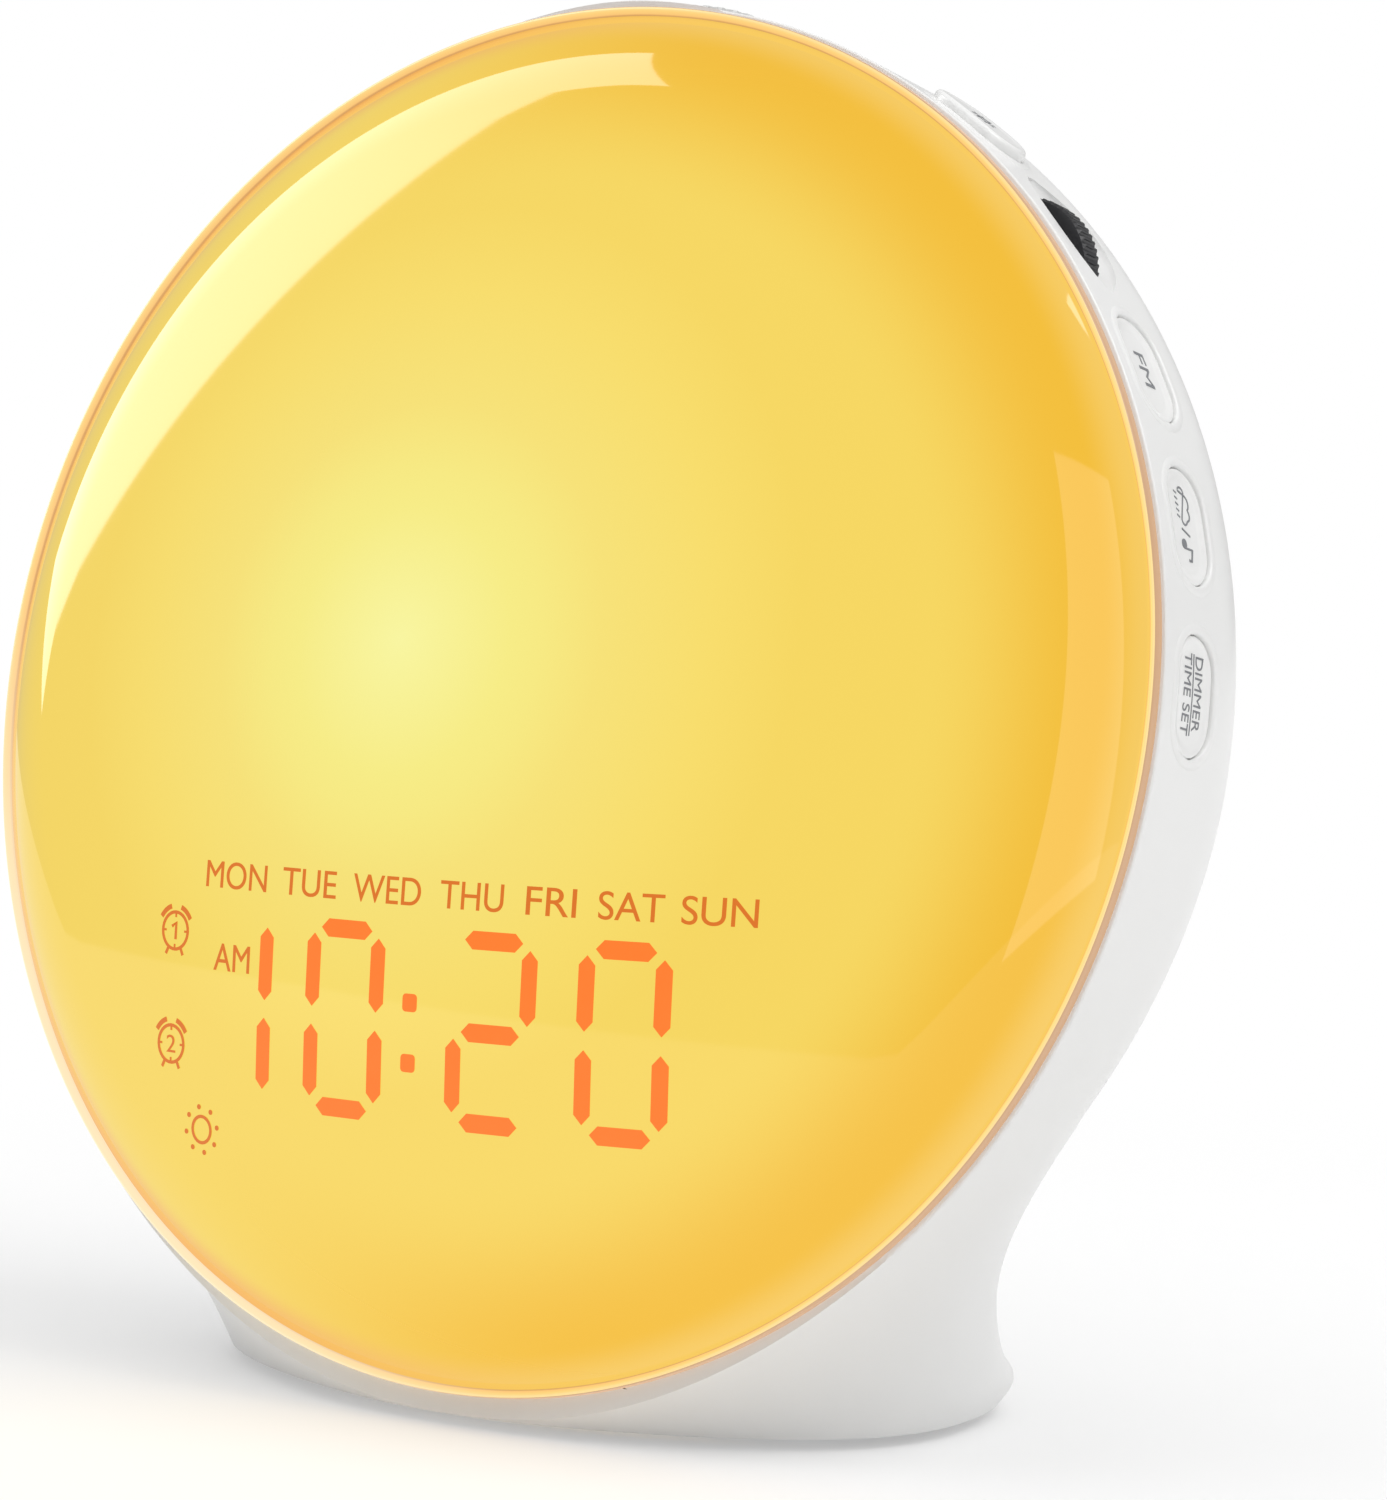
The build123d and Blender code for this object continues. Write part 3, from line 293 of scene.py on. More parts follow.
# its light: the brightest spot where the lamps gather, painted shade that darkens the shoulder on the right,
# painted light and shade in the tones next to the rim, and, for the lip, painted shade in its valley and a
# painted highlight low on the left
light = {
    "centre": (-9.6, 3.5), "reach": 70.0,
    "stops": [(0.0, "#fcfaa2"), (0.24, "#faf086"), (0.31, "#faed82"), (0.43, "#fae577"), (0.64, "#fbe06a"),
              (0.8, "#f9da60"), (1.0, "#f9d95e")],
    "leftToRight": (-45, 25), "shoulder": (62, 82), "shoulderShade": "#f6c031",
    "rim": (82, 86.4), "rimLeft": "#f8b258", "rimRight": "#f9cd60", "strength": 0.97, "ior": 1.49,
    # painted shade: the first, brown lip stops darken the valley round the dome
    "lipStops": [(0.0, "#cc9a5e"), (0.1, "#d9a565"), (0.18, "#f5c478"), (0.45, "#fad07e"), (0.75, "#fcdf98")],
    "sideStops": [(0.0, "#d6a67c"), (1.0, "#dbb08c")], "wander": 0.04,
    # painted highlight on the lip, low on the left
    "highlight": (-70, -122), "highlightShare": 0.85, "highlightTone": "#fff0cc",
}


def shoulderArc(inset):
    # the arc that turns the dome down to its rim: centre, radius and end slopes
    g = glow
    slope = g["shoulder"] / g["sphere"]
    tangent = Vector((sqrt(1 - slope ** 2), slope))
    normal = Vector((-tangent.y, tangent.x))
    begin = Vector((g["shoulder"], g["sphere"] - g["rise"] - sqrt(g["sphere"] ** 2 - g["shoulder"] ** 2)))
    begin += normal * inset
    end = Vector((g["skirtInner"] if inset else g["foot"], g["footDepth"]))
    chord = end - begin
    bend = chord.length_squared / (2 * chord.dot(normal))
    centre = begin + normal * bend
    return centre, bend, asin(slope), asin((end.x - centre.x) / bend)


def domeDepth(radius):
    # depth of the dome's outer surface, negative in front of the rim
    if radius <= glow["shoulder"]:
        return glow["sphere"] - glow["rise"] - sqrt(glow["sphere"] ** 2 - radius ** 2)
    centre, bend, start, end = shoulderArc(0)
    across = min(radius, glow["foot"]) - centre.x
    return centre.y - sqrt(bend ** 2 - across ** 2)


def domeProfile(inset, steps):
    # half section of the dome moved in by inset, from the crown to the rim
    centre, bend, start, end = shoulderArc(inset)
    reach, middle = glow["sphere"] - inset, glow["sphere"] - glow["rise"]
    points = []
    for i in range(steps + 1):
        turn = start * i / steps
        points.append((reach * sin(turn), middle - reach * cos(turn)))
    for i in range(1, glow["turnSteps"] + 1):
        turn = start + (end - start) * i / glow["turnSteps"]
        points.append((centre.x + bend * sin(turn), centre.y - bend * cos(turn)))
    return points


def makeDome():
    g = glow
    crest = g["rim"] - g["edge"]
    rim = arc((crest, g["edge"]), g["edge"], -90, 0, 4)
    rim += [(g["rim"], g["thickness"]), (g["skirt"], g["thickness"]), (g["skirt"], g["skirtEnd"]),
            (g["skirtInner"], g["skirtEnd"])]
    inside = domeProfile(g["wall"], g["innerSteps"])[::-1]
    bm = spun(domeProfile(0.0, g["sphereSteps"]) + rim + inside, g["steps"])
    return addMesh(bm, "glowing_dome", faceToWorld)


def faceCoords(mat):
    # coordinates in the face frame, in metres
    origin = Matrix.Rotation(lean, 3, "X") @ faceCentre
    inputs = {"Location": -origin, "Rotation": (lean, 0, 0), "Vector": objectCoords(mat)}
    return addNode(mat, "Mapping", inputs).outputs[0]


def colourRamp(mat, share, stops):
    ramp = addNode(mat, "ValToRGB", {0: share})
    band = ramp.color_ramp
    while len(band.elements) < len(stops):
        band.elements.new(0.5)
    for element, (place, colour) in zip(band.elements, stops):
        element.position = place
        element.color = linear(colour)
    return ramp.outputs[0]


def facePlace(mat, face):
    # x and z across the face, their flat vector, and the distance from the middle
    parts = addNode(mat, "SeparateXYZ", {0: face})
    x, z = parts.outputs[0], parts.outputs[2]
    flat = addNode(mat, "CombineXYZ", {0: x, 2: z}).outputs[0]
    away = addNode(mat, "VectorMath", {0: flat}, {"operation": "LENGTH"})
    return x, z, flat, away.outputs["Value"]


def litAcrylic():
    # polished opal acrylic lit from behind: lemon where the lamps gather, amber towards the rim, with painted
    # shade on the right shoulder and painted light and shade next to the rim
    mat = startMaterial("domeOpalAcrylic")
    face = faceCoords(mat)
    x, z, flat, away = facePlace(mat, face)
    centre = (light["centre"][0] * mm, 0, light["centre"][1] * mm)
    spot = addNode(mat, "VectorMath", {0: flat, 1: centre}, {"operation": "DISTANCE"})
    share = maths(mat, "DIVIDE", spot.outputs["Value"], light["reach"] * mm)
    colour = colourRamp(mat, share, light["stops"])
    across = eased(mat, x, light["leftToRight"])
    shoulder = eased(mat, away, light["shoulder"])
    shade = maths(mat, "MULTIPLY", across, shoulder)
    # painted shade: the shoulder on the right darkened towards amber
    colour = blend(mat, shade, colour, light["shoulderShade"])
    # painted light and shade next to the rim: darker peach on the left, lighter on the right
    edge = eased(mat, away, light["rim"])
    rimLightAndShade = blend(mat, across, light["rimLeft"], light["rimRight"])
    colour = blend(mat, edge, colour, rimLightAndShade)
    grain = noise(mat, face, 0.6, 2)
    shader = addNode(mat, "BsdfPrincipled",
                     {"Base Color": "#33260a", "Roughness": 0.2, "IOR": light["ior"],
                      "Specular IOR Level": 0.0, "Coat Weight": 1.0, "Coat Roughness": 0.04,
                      "Emission Strength": light["strength"], "Emission Color": colour,
                      "Normal": relief(mat, grain, 0.01, 0.02)})
    return endMaterial(mat, shader)


def edgeAcrylic(name, stops, strength):
    # the same acrylic at its edge: glowing, with painted shade that makes it brown in the narrow valley round
    # the dome, lighter towards the rim
    mat = startMaterial(name)
    face = faceCoords(mat)
    x, z, flat, away = facePlace(mat, face)
    wander = ranged(mat, noise(mat, face, 6, 3), -light["wander"] * mm, light["wander"] * mm)
    place = maths(mat, "ADD", away, wander)
    inputs = {"Value": place, "From Min": glow["foot"] * mm, "From Max": glow["rim"] * mm}
    share = addNode(mat, "MapRange", inputs).outputs[0]
    # painted highlight, lightest low on the left
    highlight = eased(mat, maths(mat, "ADD", x, z), light["highlight"], 0.0, light["highlightShare"])
    colour = blend(mat, highlight, colourRamp(mat, share, stops), light["highlightTone"])
    shader = addNode(mat, "BsdfPrincipled",
                     {"Base Color": "#5a4526", "Roughness": 0.25, "IOR": light["ior"],
                      "Emission Strength": strength, "Emission Color": colour})
    return endMaterial(mat, shader)


domeAcrylic = litAcrylic()
flangeAcrylic = edgeAcrylic("lipLitAcrylic", light["lipStops"], 0.93)
sideAcrylic = edgeAcrylic("sideTanAcrylic", light["sideStops"], 0.75)

dome = makeDome()
finishPiece(dome, [domeAcrylic, flangeAcrylic, sideAcrylic], "root", ["diffuser_dome"], 40)
for face in dome.data.polygons:
    middle = worldToFace @ face.center
    radius = sqrt(middle.x ** 2 + middle.z ** 2)
    if radius > glow["sideRadius"] and middle.y > glow["sideDepth"]:
        face.material_index = 2
    elif radius > glow["foot"]:
        face.material_index = 1
print("dome made")


# the white shell

hull = {
    "radius": stance["bandRadius"], "straight": 16.0, "rounding": 14.0, "turn": 60.0, "wall": 2.8,
    "front": 1.6, "frontEdge": 0.3, "podRadius": 29.5, "podHeight": 57.0, "podEnd": 39.0,
    "podRounding": 11.0, "podBlend": 5.0, "sole": 1.5, "squareness": 2.4, "footBlend": 12.0,
    "blendFade": 16.0, "taper": 0.1, "taperStart": 5.0, "taperEase": 15.0, "lead": -6.0, "footLead": -2.5,
    "voxel": 1.2, "innerVoxel": 2.4, "loopPoints": 120, "footLevels": 32,
    # rounds of settling, how far from the open ends points settle, and the longest step they take
    "rounds": (4, 3, 3), "frontStill": 3, "footStill": 1, "longest": 8,
}
# height, half width, front and back of foot and waist
sections = np.array([
    (-2.5, 52.0, -12.0, 41.0), (1.5, 54.9, -12.9, 44.5), (3.9, 56.5, -13.3, 45.8), (8.5, 57.6, -13.3, 39.6),
    (14.0, 58.8, -12.6, 34.1), (24.0, 60.8, -10.8, 30.6), (36.0, 63.5, -8.0, 33.0), (46.0, 64.5, -5.0, 34.5),
    (56.0, 63.0, -2.0, 33.0)])
levels = sections[:, 0]
sectionSlopes = np.gradient(sections[:, 1:], levels, axis=0)
flank = hull["radius"] - hull["rounding"]
backCentre = hull["straight"] - flank * tan(radians(hull["turn"]))
backRadius = flank / cos(radians(hull["turn"])) + hull["rounding"]


def sectionAt(heights):
    # half width, front and back at each height, on smooth curves through the sections
    i = np.clip(np.searchsorted(levels, heights) - 1, 0, len(levels) - 2)
    span = (levels[i + 1] - levels[i])[:, None]
    t = np.clip((heights - levels[i])[:, None] / span, 0, 1)
    low, high = sections[i, 1:], sections[i + 1, 1:]
    slopes = (t ** 3 - 2 * t ** 2 + t) * sectionSlopes[i] + (t ** 3 - t ** 2) * sectionSlopes[i + 1]
    return ((2 * t ** 3 - 3 * t ** 2 + 1) * low + (3 * t ** 2 - 2 * t ** 3) * high + span * slopes).T


def smoothMin(a, b, reach):
    reach = np.maximum(reach, 0.001)
    share = np.clip(reach - np.abs(a - b), 0, None) / reach
    return np.minimum(a, b) - share ** 2 * reach / 4


def turnedDistance(points):
    # distance to the turned shell, whose rear draws in towards the foot
    radius = np.hypot(points[:, 0], points[:, 2])
    low = np.clip(-points[:, 2] - hull["taperStart"], 0, None)
    depth = points[:, 1] + hull["taper"] * low ** 2 / (low + hull["taperEase"])
    across, along = radius - flank, depth - hull["straight"]
    corner = np.hypot(across, along) - hull["rounding"]
    back = np.hypot(radius, depth - backCentre) - backRadius
    behind = np.where(np.arctan2(along, across) < radians(hull["turn"]), corner, back)
    return np.where(along < 0, radius - hull["radius"], behind)


def footDistance(points):
    # distance to the foot's outline at each point's height, in the standing frame
    halfWidth, front, back = sectionAt(points[:, 2])
    power = hull["squareness"]
    deep = (back - front) / 2
    x = np.abs(points[:, 0]) / halfWidth
    y = np.abs(points[:, 1] - (front + back) / 2) / deep
    size = np.maximum((x ** power + y ** power) ** (1 / power), 1e-6)
    slope = size ** (1 - power) * np.hypot(x ** (power - 1) / halfWidth, y ** (power - 1) / deep)
    return np.maximum((size - 1) / np.maximum(slope, 1e-6), points[:, 2] - levels[-1])


def podDistance(points):
    across = np.hypot(points[:, 0], points[:, 2] - hull["podHeight"])
    across = across - (hull["podRadius"] - hull["podRounding"])
    along = points[:, 1] - (hull["podEnd"] - hull["podRounding"])
    outside = np.hypot(np.maximum(across, 0), np.maximum(along, 0))
    return np.minimum(np.maximum(across, along), 0) + outside - hull["podRounding"]


def standing(points):
    # points of the face frame in the standing frame
    y, z = points[:, 1], points[:, 2]
    height = -y * sin(lean) + z * cos(lean) + faceHeight
    return np.stack([points[:, 0], y * cos(lean) + z * sin(lean), height], 1)


def bodyDistance(points):
    # shell, foot and pod with soft fillets between them, in the face frame
    stand = standing(points)
    fade = np.clip((levels[-1] - stand[:, 2]) / hull["blendFade"], 0, 1)
    joined = smoothMin(turnedDistance(points), footDistance(stand), hull["footBlend"] * fade)
    return smoothMin(joined, podDistance(points), hull["podBlend"])


def settled(points, level, rounds):
    # moves points onto the surface at a distance from the body's outer form
    step = 0.02
    for _ in range(rounds):
        value = bodyDistance(points) - level
        slope = np.stack([(bodyDistance(points + axis) - bodyDistance(points - axis)) / (2 * step)
                          for axis in np.eye(3) * step], 1)
        points = points - slope * (value / np.maximum((slope ** 2).sum(1), 0.05))[:, None]
    return points


def loftLoops(bm, loops, caps=True):
    # joins closed loops of equal length with quads, and closes both ends
    count = len(loops[0])
    for lower, upper in zip(loops, loops[1:]):
        for i in range(count):
            j = (i + 1) % count
            bm.faces.new((lower[i], lower[j], upper[j], upper[i]))
    if caps:
        bm.faces.new(loops[0])
        bm.faces.new(loops[-1])
    outward(bm)


def signedPower(value, power):
    return abs(value) ** power * (1 if value > 0 else -1)


def footLoft():
    bm = bmesh.new()
    heights = np.linspace(levels[0], levels[-1], hull["footLevels"])
    power = 2 / hull["squareness"]
    loops = []
    for height, halfWidth, front, back in zip(heights, *sectionAt(heights)):
        loop = []
        for i in range(hull["loopPoints"]):
            turn = 2 * pi * i / hull["loopPoints"]
            x = halfWidth * signedPower(cos(turn), power)
            y = (front + back) / 2 + (back - front) / 2 * signedPower(sin(turn), power)
            loop.append(bm.verts.new((x, y, height)))
        loops.append(loop)
    loftLoops(bm, loops)
    return bm


def bodySkin(name, level, voxel):
    # closed skin of shell, pod and foot, a distance off the outer form, that runs past the front and sole
    shellProfile = [(0, hull["lead"]), (hull["radius"], hull["lead"])]
    shellProfile += arc((flank, hull["straight"]), hull["rounding"], 0, hull["turn"], 16)
    shellProfile += arc((0, backCentre), backRadius, hull["turn"], 90, 30)[1:]
    podProfile = [(0, hull["straight"] / 2), (hull["podRadius"], hull["straight"] / 2)]
    podProfile += arc((hull["podRadius"] - hull["podRounding"], hull["podEnd"] - hull["podRounding"]),
                      hull["podRounding"], 0, 90, 10)
    podPlace = faceToWorld @ Matrix.Translation((0, 0, hull["podHeight"]))
    parts = [addMesh(spun(shellProfile, 192), "shellPart", faceToWorld),
             addMesh(spun(podProfile, 96), "podPart", podPlace),
             addMesh(footLoft(), "footPart", standToWorld)]
    bm = bmesh.new()
    for part in parts:
        bm.from_mesh(part.data)
        removeObject(part)
    skin = addMesh(bm, name, Matrix.Identity(4))
    remesh = skin.modifiers.new("Remesh", "REMESH")
    remesh.mode = "VOXEL"
    remesh.voxel_size = voxel * mm
    bpy.context.view_layer.update()
    applyModifiers(skin)
    bm = bmesh.new()
    bm.from_mesh(skin.data)
    shift(bm, worldToFace)
    for rounds in hull["rounds"]:
        bmesh.ops.smooth_vert(bm, verts=bm.verts, factor=0.5, use_axis_x=True, use_axis_y=True,
                              use_axis_z=True)
        points = np.array([vert.co for vert in bm.verts])
        moved = settled(points, level, rounds)
        free = points[:, 1] > hull["lead"] + hull["frontStill"]
        free &= standing(points)[:, 2] > hull["footLead"] + hull["footStill"]
        free &= np.abs(moved - points).max(1) < hull["longest"]
        for vert, place, wanted in zip(bm.verts, moved, free):
            if wanted:
                vert.co = place
    shift(bm, faceToWorld)
    bm.to_mesh(skin.data)
    bm.free()
    return skin


def cutAt(bm, place, normal, keep=False):
    bmesh.ops.bisect_plane(bm, geom=bm.verts[:] + bm.edges[:] + bm.faces[:], plane_co=place, plane_no=normal,
                           clear_outer=not keep, dist=1e-5)
    if not keep:
        bmesh.ops.edgeloop_fill(bm, edges=[edge for edge in bm.edges if edge.is_boundary])


def flatFrontAndSole(skin):
    # a flat front with an eased edge, and a flat sole
    bm = bmesh.new()
    bm.from_mesh(skin.data)
    shift(bm, worldToFace)
    edge, forward = hull["frontEdge"], Vector((0, -1, 0))
    for turn in (0, 30, 60):
        depth = hull["front"] + edge * (1 - sin(radians(turn)))
        cutAt(bm, Vector((0, depth, 0)), forward, keep=True)
    cutAt(bm, Vector((0, hull["front"], 0)), forward)
    for vert in bm.verts:
        radius = sqrt(vert.co.x ** 2 + vert.co.z ** 2)
        into = hull["front"] + edge - vert.co.y
        if into > 1e-4 and abs(radius - hull["radius"]) < 0.05:
            wanted = hull["radius"] - edge + sqrt(max(edge ** 2 - into ** 2, 0))
            vert.co.x *= wanted / radius
            vert.co.z *= wanted / radius
    shift(bm, faceToWorld)
    cutAt(bm, Vector((0, 0, hull["sole"] * mm)), Vector((0, 0, -1)))
    outward(bm)
    bm.to_mesh(skin.data)
    bm.free()


# places along the side band

key = {
    "spacing": 20.34, "first": 3.69, "depth": 9.3, "length": 14.4, "width": 8.8, "gap": 0.13, "sink": 0.3,
    "raise": 1.3, "dish": 0.3, "highDish": 0.12, "dishWide": 1.5, "bevel": 0.22, "highBevel": 0.7,
    "under": 84.6, "lug": 1.2, "lugThick": 1.5, "lugWide": 5.0, "stem": 3.9, "stemWide": 3.2, "foot": -3.5,
    # points along each half turn and each straight side of a pill
    "turnSteps": 12, "straightSteps": 8, "bevelTurns": (22, 45, 67, 90), "dishSteps": 6,
    # heights and growths of the eased lip of a key opening, and of the low bead round it
    "lip": [(-8.0, 0.0), (-0.15, 0.0), (-0.04, 0.03), (0.06, 0.1), (0.12, 0.2), (0.15, 0.32), (1.5, 0.34)],
    "bead": [(-0.6, 1.5), (-0.12, 1.4), (0.02, 1.2), (0.09, 0.95), (0.13, 0.7), (0.15, 0.45)],
}
# step up the band, and its side: 1 right, -1 left
keySteps = {"button_time": (0, 1), "button_sound": (1, 1), "button_fm": (2, 1), "button_light": (4, 1),
            "button_alarm_2": (0, -1), "button_alarm_1": (1, -1), "button_minus": (2, -1),
            "button_plus": (3, -1), "button_colour": (4, -1)}
# the finger scoop and slot of the volume wheel
scoop = {"step": 3, "length": 20.0, "sink": 2.6, "front": 4.7, "rear": 15.3, "middle": 8.3,
         "slotDepth": 8.6, "slotWide": 4.4, "slotRadius": 10.0, "wheelAxis": 79.9, "slices": 24,
         "around": 32, "padDepths": (4.4, 16.7), "padRadii": (83.6, 90.0)}
# the round plinth under the dial, the loudspeaker's holes and the recess of the power inlet
openings = {"seatRadius": 11.6, "seatDepth": 15.0, "seatEdge": 0.6, "boreRadius": 3.25, "clearRadius": 10.8,
            "grilleHeight": 5.0, "holeRadius": 1.1, "rings": [(5.0, 6), (10.0, 12), (15.0, 18), (20.0, 24)],
            "jackHeight": 17.0, "bossRadius": 7.2, "recessRadius": 5.8, "recessDepth": 30.8,
            "nozzleRadius": 4.1, "bodyBack": 27.0, "nozzleStart": 20.0, "grilleStart": 40.0, "beyond": 60.0,
            "boreHalf": 4.0, "clearStart": 0.2}


def stepAngle(step):
    return degrees((key["first"] + step * key["spacing"]) / hull["radius"])


def bandAngle(name):
    step, side = keySteps[name]
    return stepAngle(step) if side > 0 else 180 - stepAngle(step)


def wrapOnBand(bm, angle, depth):
    # bends a flat piece onto the band: x along it, y towards the rear, z outwards from its surface
    for vert in bm.verts:
        turn = radians(angle) + vert.co.x / hull["radius"]
        reach = hull["radius"] + vert.co.z
        vert.co = (reach * cos(turn), depth + vert.co.y, reach * sin(turn))
    outward(bm)


def stadium(bm, length, width, height):
    # outline of a pill: two half circles joined by straight sides
    half = length / 2 - width / 2
    turnSteps, count = key["turnSteps"], key["straightSteps"]
    points = [(half + x, y) for x, y in arc((0, 0), width / 2, -90, 90, turnSteps)]
    straight = [(half - 2 * half * i / count, width / 2) for i in range(1, count)]
    points += straight + [(-half + x, y) for x, y in arc((0, 0), width / 2, 90, 270, turnSteps)]
    points += [(-x, -y) for x, y in straight]
    return [bm.verts.new((x, y, height)) for x, y in points]


def pillLoft(bm, loops):
    # joins the loops of a pill; its ends are split across, so that they follow the band
    loftLoops(bm, loops, caps=False)
    turned, count = key["turnSteps"], key["straightSteps"]
    second = turned + count
    for loop in (loops[0], loops[-1]):
        near, far = loop[turned:second + 1], [loop[0]] + loop[:second + turned - 1:-1]
        for i in range(count):
            bm.faces.new((near[i], near[i + 1], far[i + 1], far[i]))
        bm.faces.new(loop[:turned + 1])
        bm.faces.new(loop[second:second + turned + 1])
    outward(bm)


def wrappedPill(angle, steps, length, width):
    # closed pill across the band, from (height, growth) pairs
    bm = bmesh.new()
    pillLoft(bm, [stadium(bm, length + 2 * grow, width + 2 * grow, height) for height, grow in steps])
    wrapOnBand(bm, angle, key["depth"])
    return bm


def roundKey(name, steps):
    # pill round a key's opening, ready to be joined
    length, width = key["length"] + 2 * key["gap"], key["width"] + 2 * key["gap"]
    return wrappedPill(bandAngle(name), steps, length, width), faceToWorld


def bandBlock(angle, length, depths, radii):
    # straight block across the band, between two depths and two distances from the axis
    bm = bmesh.new()
    middle, reach = (depths[0] + depths[1]) / 2, (radii[0] + radii[1]) / 2
    turn = Matrix.Rotation(radians(90 - angle), 4, "Y")
    place = turn @ Matrix.Translation((0, middle, reach))
    size = (length, depths[1] - depths[0], radii[1] - radii[0], 1)
    bmesh.ops.create_cube(bm, size=1.0, matrix=place @ Matrix.Diagonal(size))
    return bm


def scoopCutter():
    # shallow spindle across the band, pointed at both ends, wider towards the rear
    half, belly = scoop["length"] / 2, (scoop["rear"] - scoop["front"]) / 2
    curve = (half ** 2 + belly ** 2) / (2 * belly)
    reach = asin(half / curve)
    bm = bmesh.new()
    rounds = []
    for i in range(1, scoop["slices"]):
        turn = -reach + 2 * reach * i / scoop["slices"]
        x, radius = curve * sin(turn), curve * cos(turn) - curve + belly
        ring = []
        for k in range(scoop["around"]):
            t = 2 * pi * k / scoop["around"]
            y, z = radius * cos(t), radius * sin(t)
            side = (scoop["middle"] - scoop["front"]) if y < 0 else (scoop["rear"] - scoop["middle"])
            ring.append(bm.verts.new((x, y * side / belly, z * scoop["sink"] / belly)))
        rounds.append(ring)
    loftLoops(bm, rounds)
    wrapOnBand(bm, stepAngle(scoop["step"]), scoop["middle"])
    return bm


def barAlongY(radius, depths, x=0.0, z=0.0, segments=48):
    bm = bmesh.new()
    bmesh.ops.create_cone(bm, cap_ends=True, segments=segments, radius1=radius, radius2=radius,
                          depth=depths[1] - depths[0],
                          matrix=Matrix.Translation((x, (depths[0] + depths[1]) / 2, z))
                          @ Matrix.Rotation(pi / 2, 4, "X"))
    return bm


def joined(name, pieces):
    # one mesh from bmeshes, each with its place
    whole = bmesh.new()
    holder = bpy.data.meshes.new("holder")
    for bm, place in pieces:
        shift(bm, place)
        outward(bm)
        bm.to_mesh(holder)
        bm.free()
        whole.from_mesh(holder)
    bpy.data.meshes.remove(holder)
    return addMesh(whole, name, Matrix.Identity(4))


dialToFace = Matrix.Translation((0, stance["dialDepth"], stance["dialSeat"]))
dialToFace = dialToFace @ Matrix.Rotation(-radians(stance["dialLean"]), 4, "X")
dialToWorld = faceToWorld @ dialToFace


def underDial(bm):
    # stands up what was made along the depth, ready to be joined under the dial
    shift(bm, Matrix.Rotation(pi / 2, 4, "X"))
    return bm, dialToWorld


def dialPlinth():
    o = openings
    edge, radius = o["seatEdge"], o["seatRadius"]
    profile = [(0, -o["seatDepth"]), (radius, -o["seatDepth"])]
    return underDial(spun(profile + arc((radius - edge, -edge), edge, 0, 90, 5) + [(0, 0)], 96))


def makeShell():
    o = openings
    outer = bodySkin("white_shell", 0.0, hull["voxel"])
    flatFrontAndSole(outer)
    print("outer form made", len(outer.data.polygons))
    room = bodySkin("room", -hull["wall"], hull["innerVoxel"])
    wheelAt = stepAngle(scoop["step"])
    pad = bandBlock(wheelAt, scoop["length"], scoop["padDepths"], scoop["padRadii"])
    boss = barAlongY(o["bossRadius"], (o["bodyBack"], o["beyond"]), 0, o["jackHeight"])
    booleanWith(room, joined("kept", [(pad, faceToWorld), (boss, standToWorld)]), "DIFFERENCE")
    added = [roundKey(name, key["bead"]) for name in keySteps] + [dialPlinth()]
    booleanWith(outer, joined("added", added), "UNION")
    booleanWith(outer, room, "DIFFERENCE")
    recess = barAlongY(o["recessRadius"], (o["recessDepth"], o["beyond"]), 0, o["jackHeight"])
    cuts = [roundKey(name, key["lip"]) for name in keySteps]
    cuts += [(scoopCutter(), faceToWorld), (recess, standToWorld)]
    places = [(0.0, 0.0)]
    places += [(ring * cos(2 * pi * i / count), ring * sin(2 * pi * i / count))
               for ring, count in o["rings"] for i in range(count)]
    cuts += [(barAlongY(o["holeRadius"], (o["grilleStart"], o["beyond"]), x, o["grilleHeight"] + z, 16),
              faceToWorld) for x, z in places]
    booleanWith(outer, joined("cuts", cuts), "DIFFERENCE")
    slotHalf, turn = scoop["slotWide"] / 2, radians(wheelAt)
    slot = barAlongY(scoop["slotRadius"], (scoop["slotDepth"] - slotHalf, scoop["slotDepth"] + slotHalf),
                     scoop["wheelAxis"] * cos(turn), scoop["wheelAxis"] * sin(turn), 72)
    nozzle = barAlongY(o["nozzleRadius"], (o["nozzleStart"], o["beyond"]), 0, o["jackHeight"])
    # the bore for the dial's shaft, and room for the dial to go down
    bore = underDial(barAlongY(o["boreRadius"], (-o["boreHalf"], o["boreHalf"])))
    clear = underDial(barAlongY(o["clearRadius"], (o["clearStart"], o["boreHalf"])))
    deepCuts = joined("deepCuts", [(slot, faceToWorld), (nozzle, standToWorld), bore, clear])
    booleanWith(outer, deepCuts, "DIFFERENCE")
    return finishPiece(outer, [shellWhite], "root", ["main_housing"], 32)


shell = makeShell()
print("shell made", len(shell.data.polygons))


# keys

def keyShape(name):
    # how far the cap stands off the band, the rounding of its edge, and the depth of its dish
    if name in ("button_light", "button_colour"):
        return key["raise"], key["highBevel"], key["highDish"]
    return -key["sink"], key["bevel"], key["dish"]


def dishHeight(name, inward):
    # height of the cap's surface, a distance in from its edge
    proud, edge, dish = keyShape(name)
    share = min(max((inward - edge) / key["dishWide"], 0), 1)
    return proud - dish * (1 - cos(pi * share)) / 2


def keyBlock(name, length, wide, deep):
    # block under a key's cap, across its middle
    depths = (key["depth"] - wide / 2, key["depth"] + wide / 2)
    return bandBlock(bandAngle(name), length, depths, (key["under"] - deep, key["under"]))


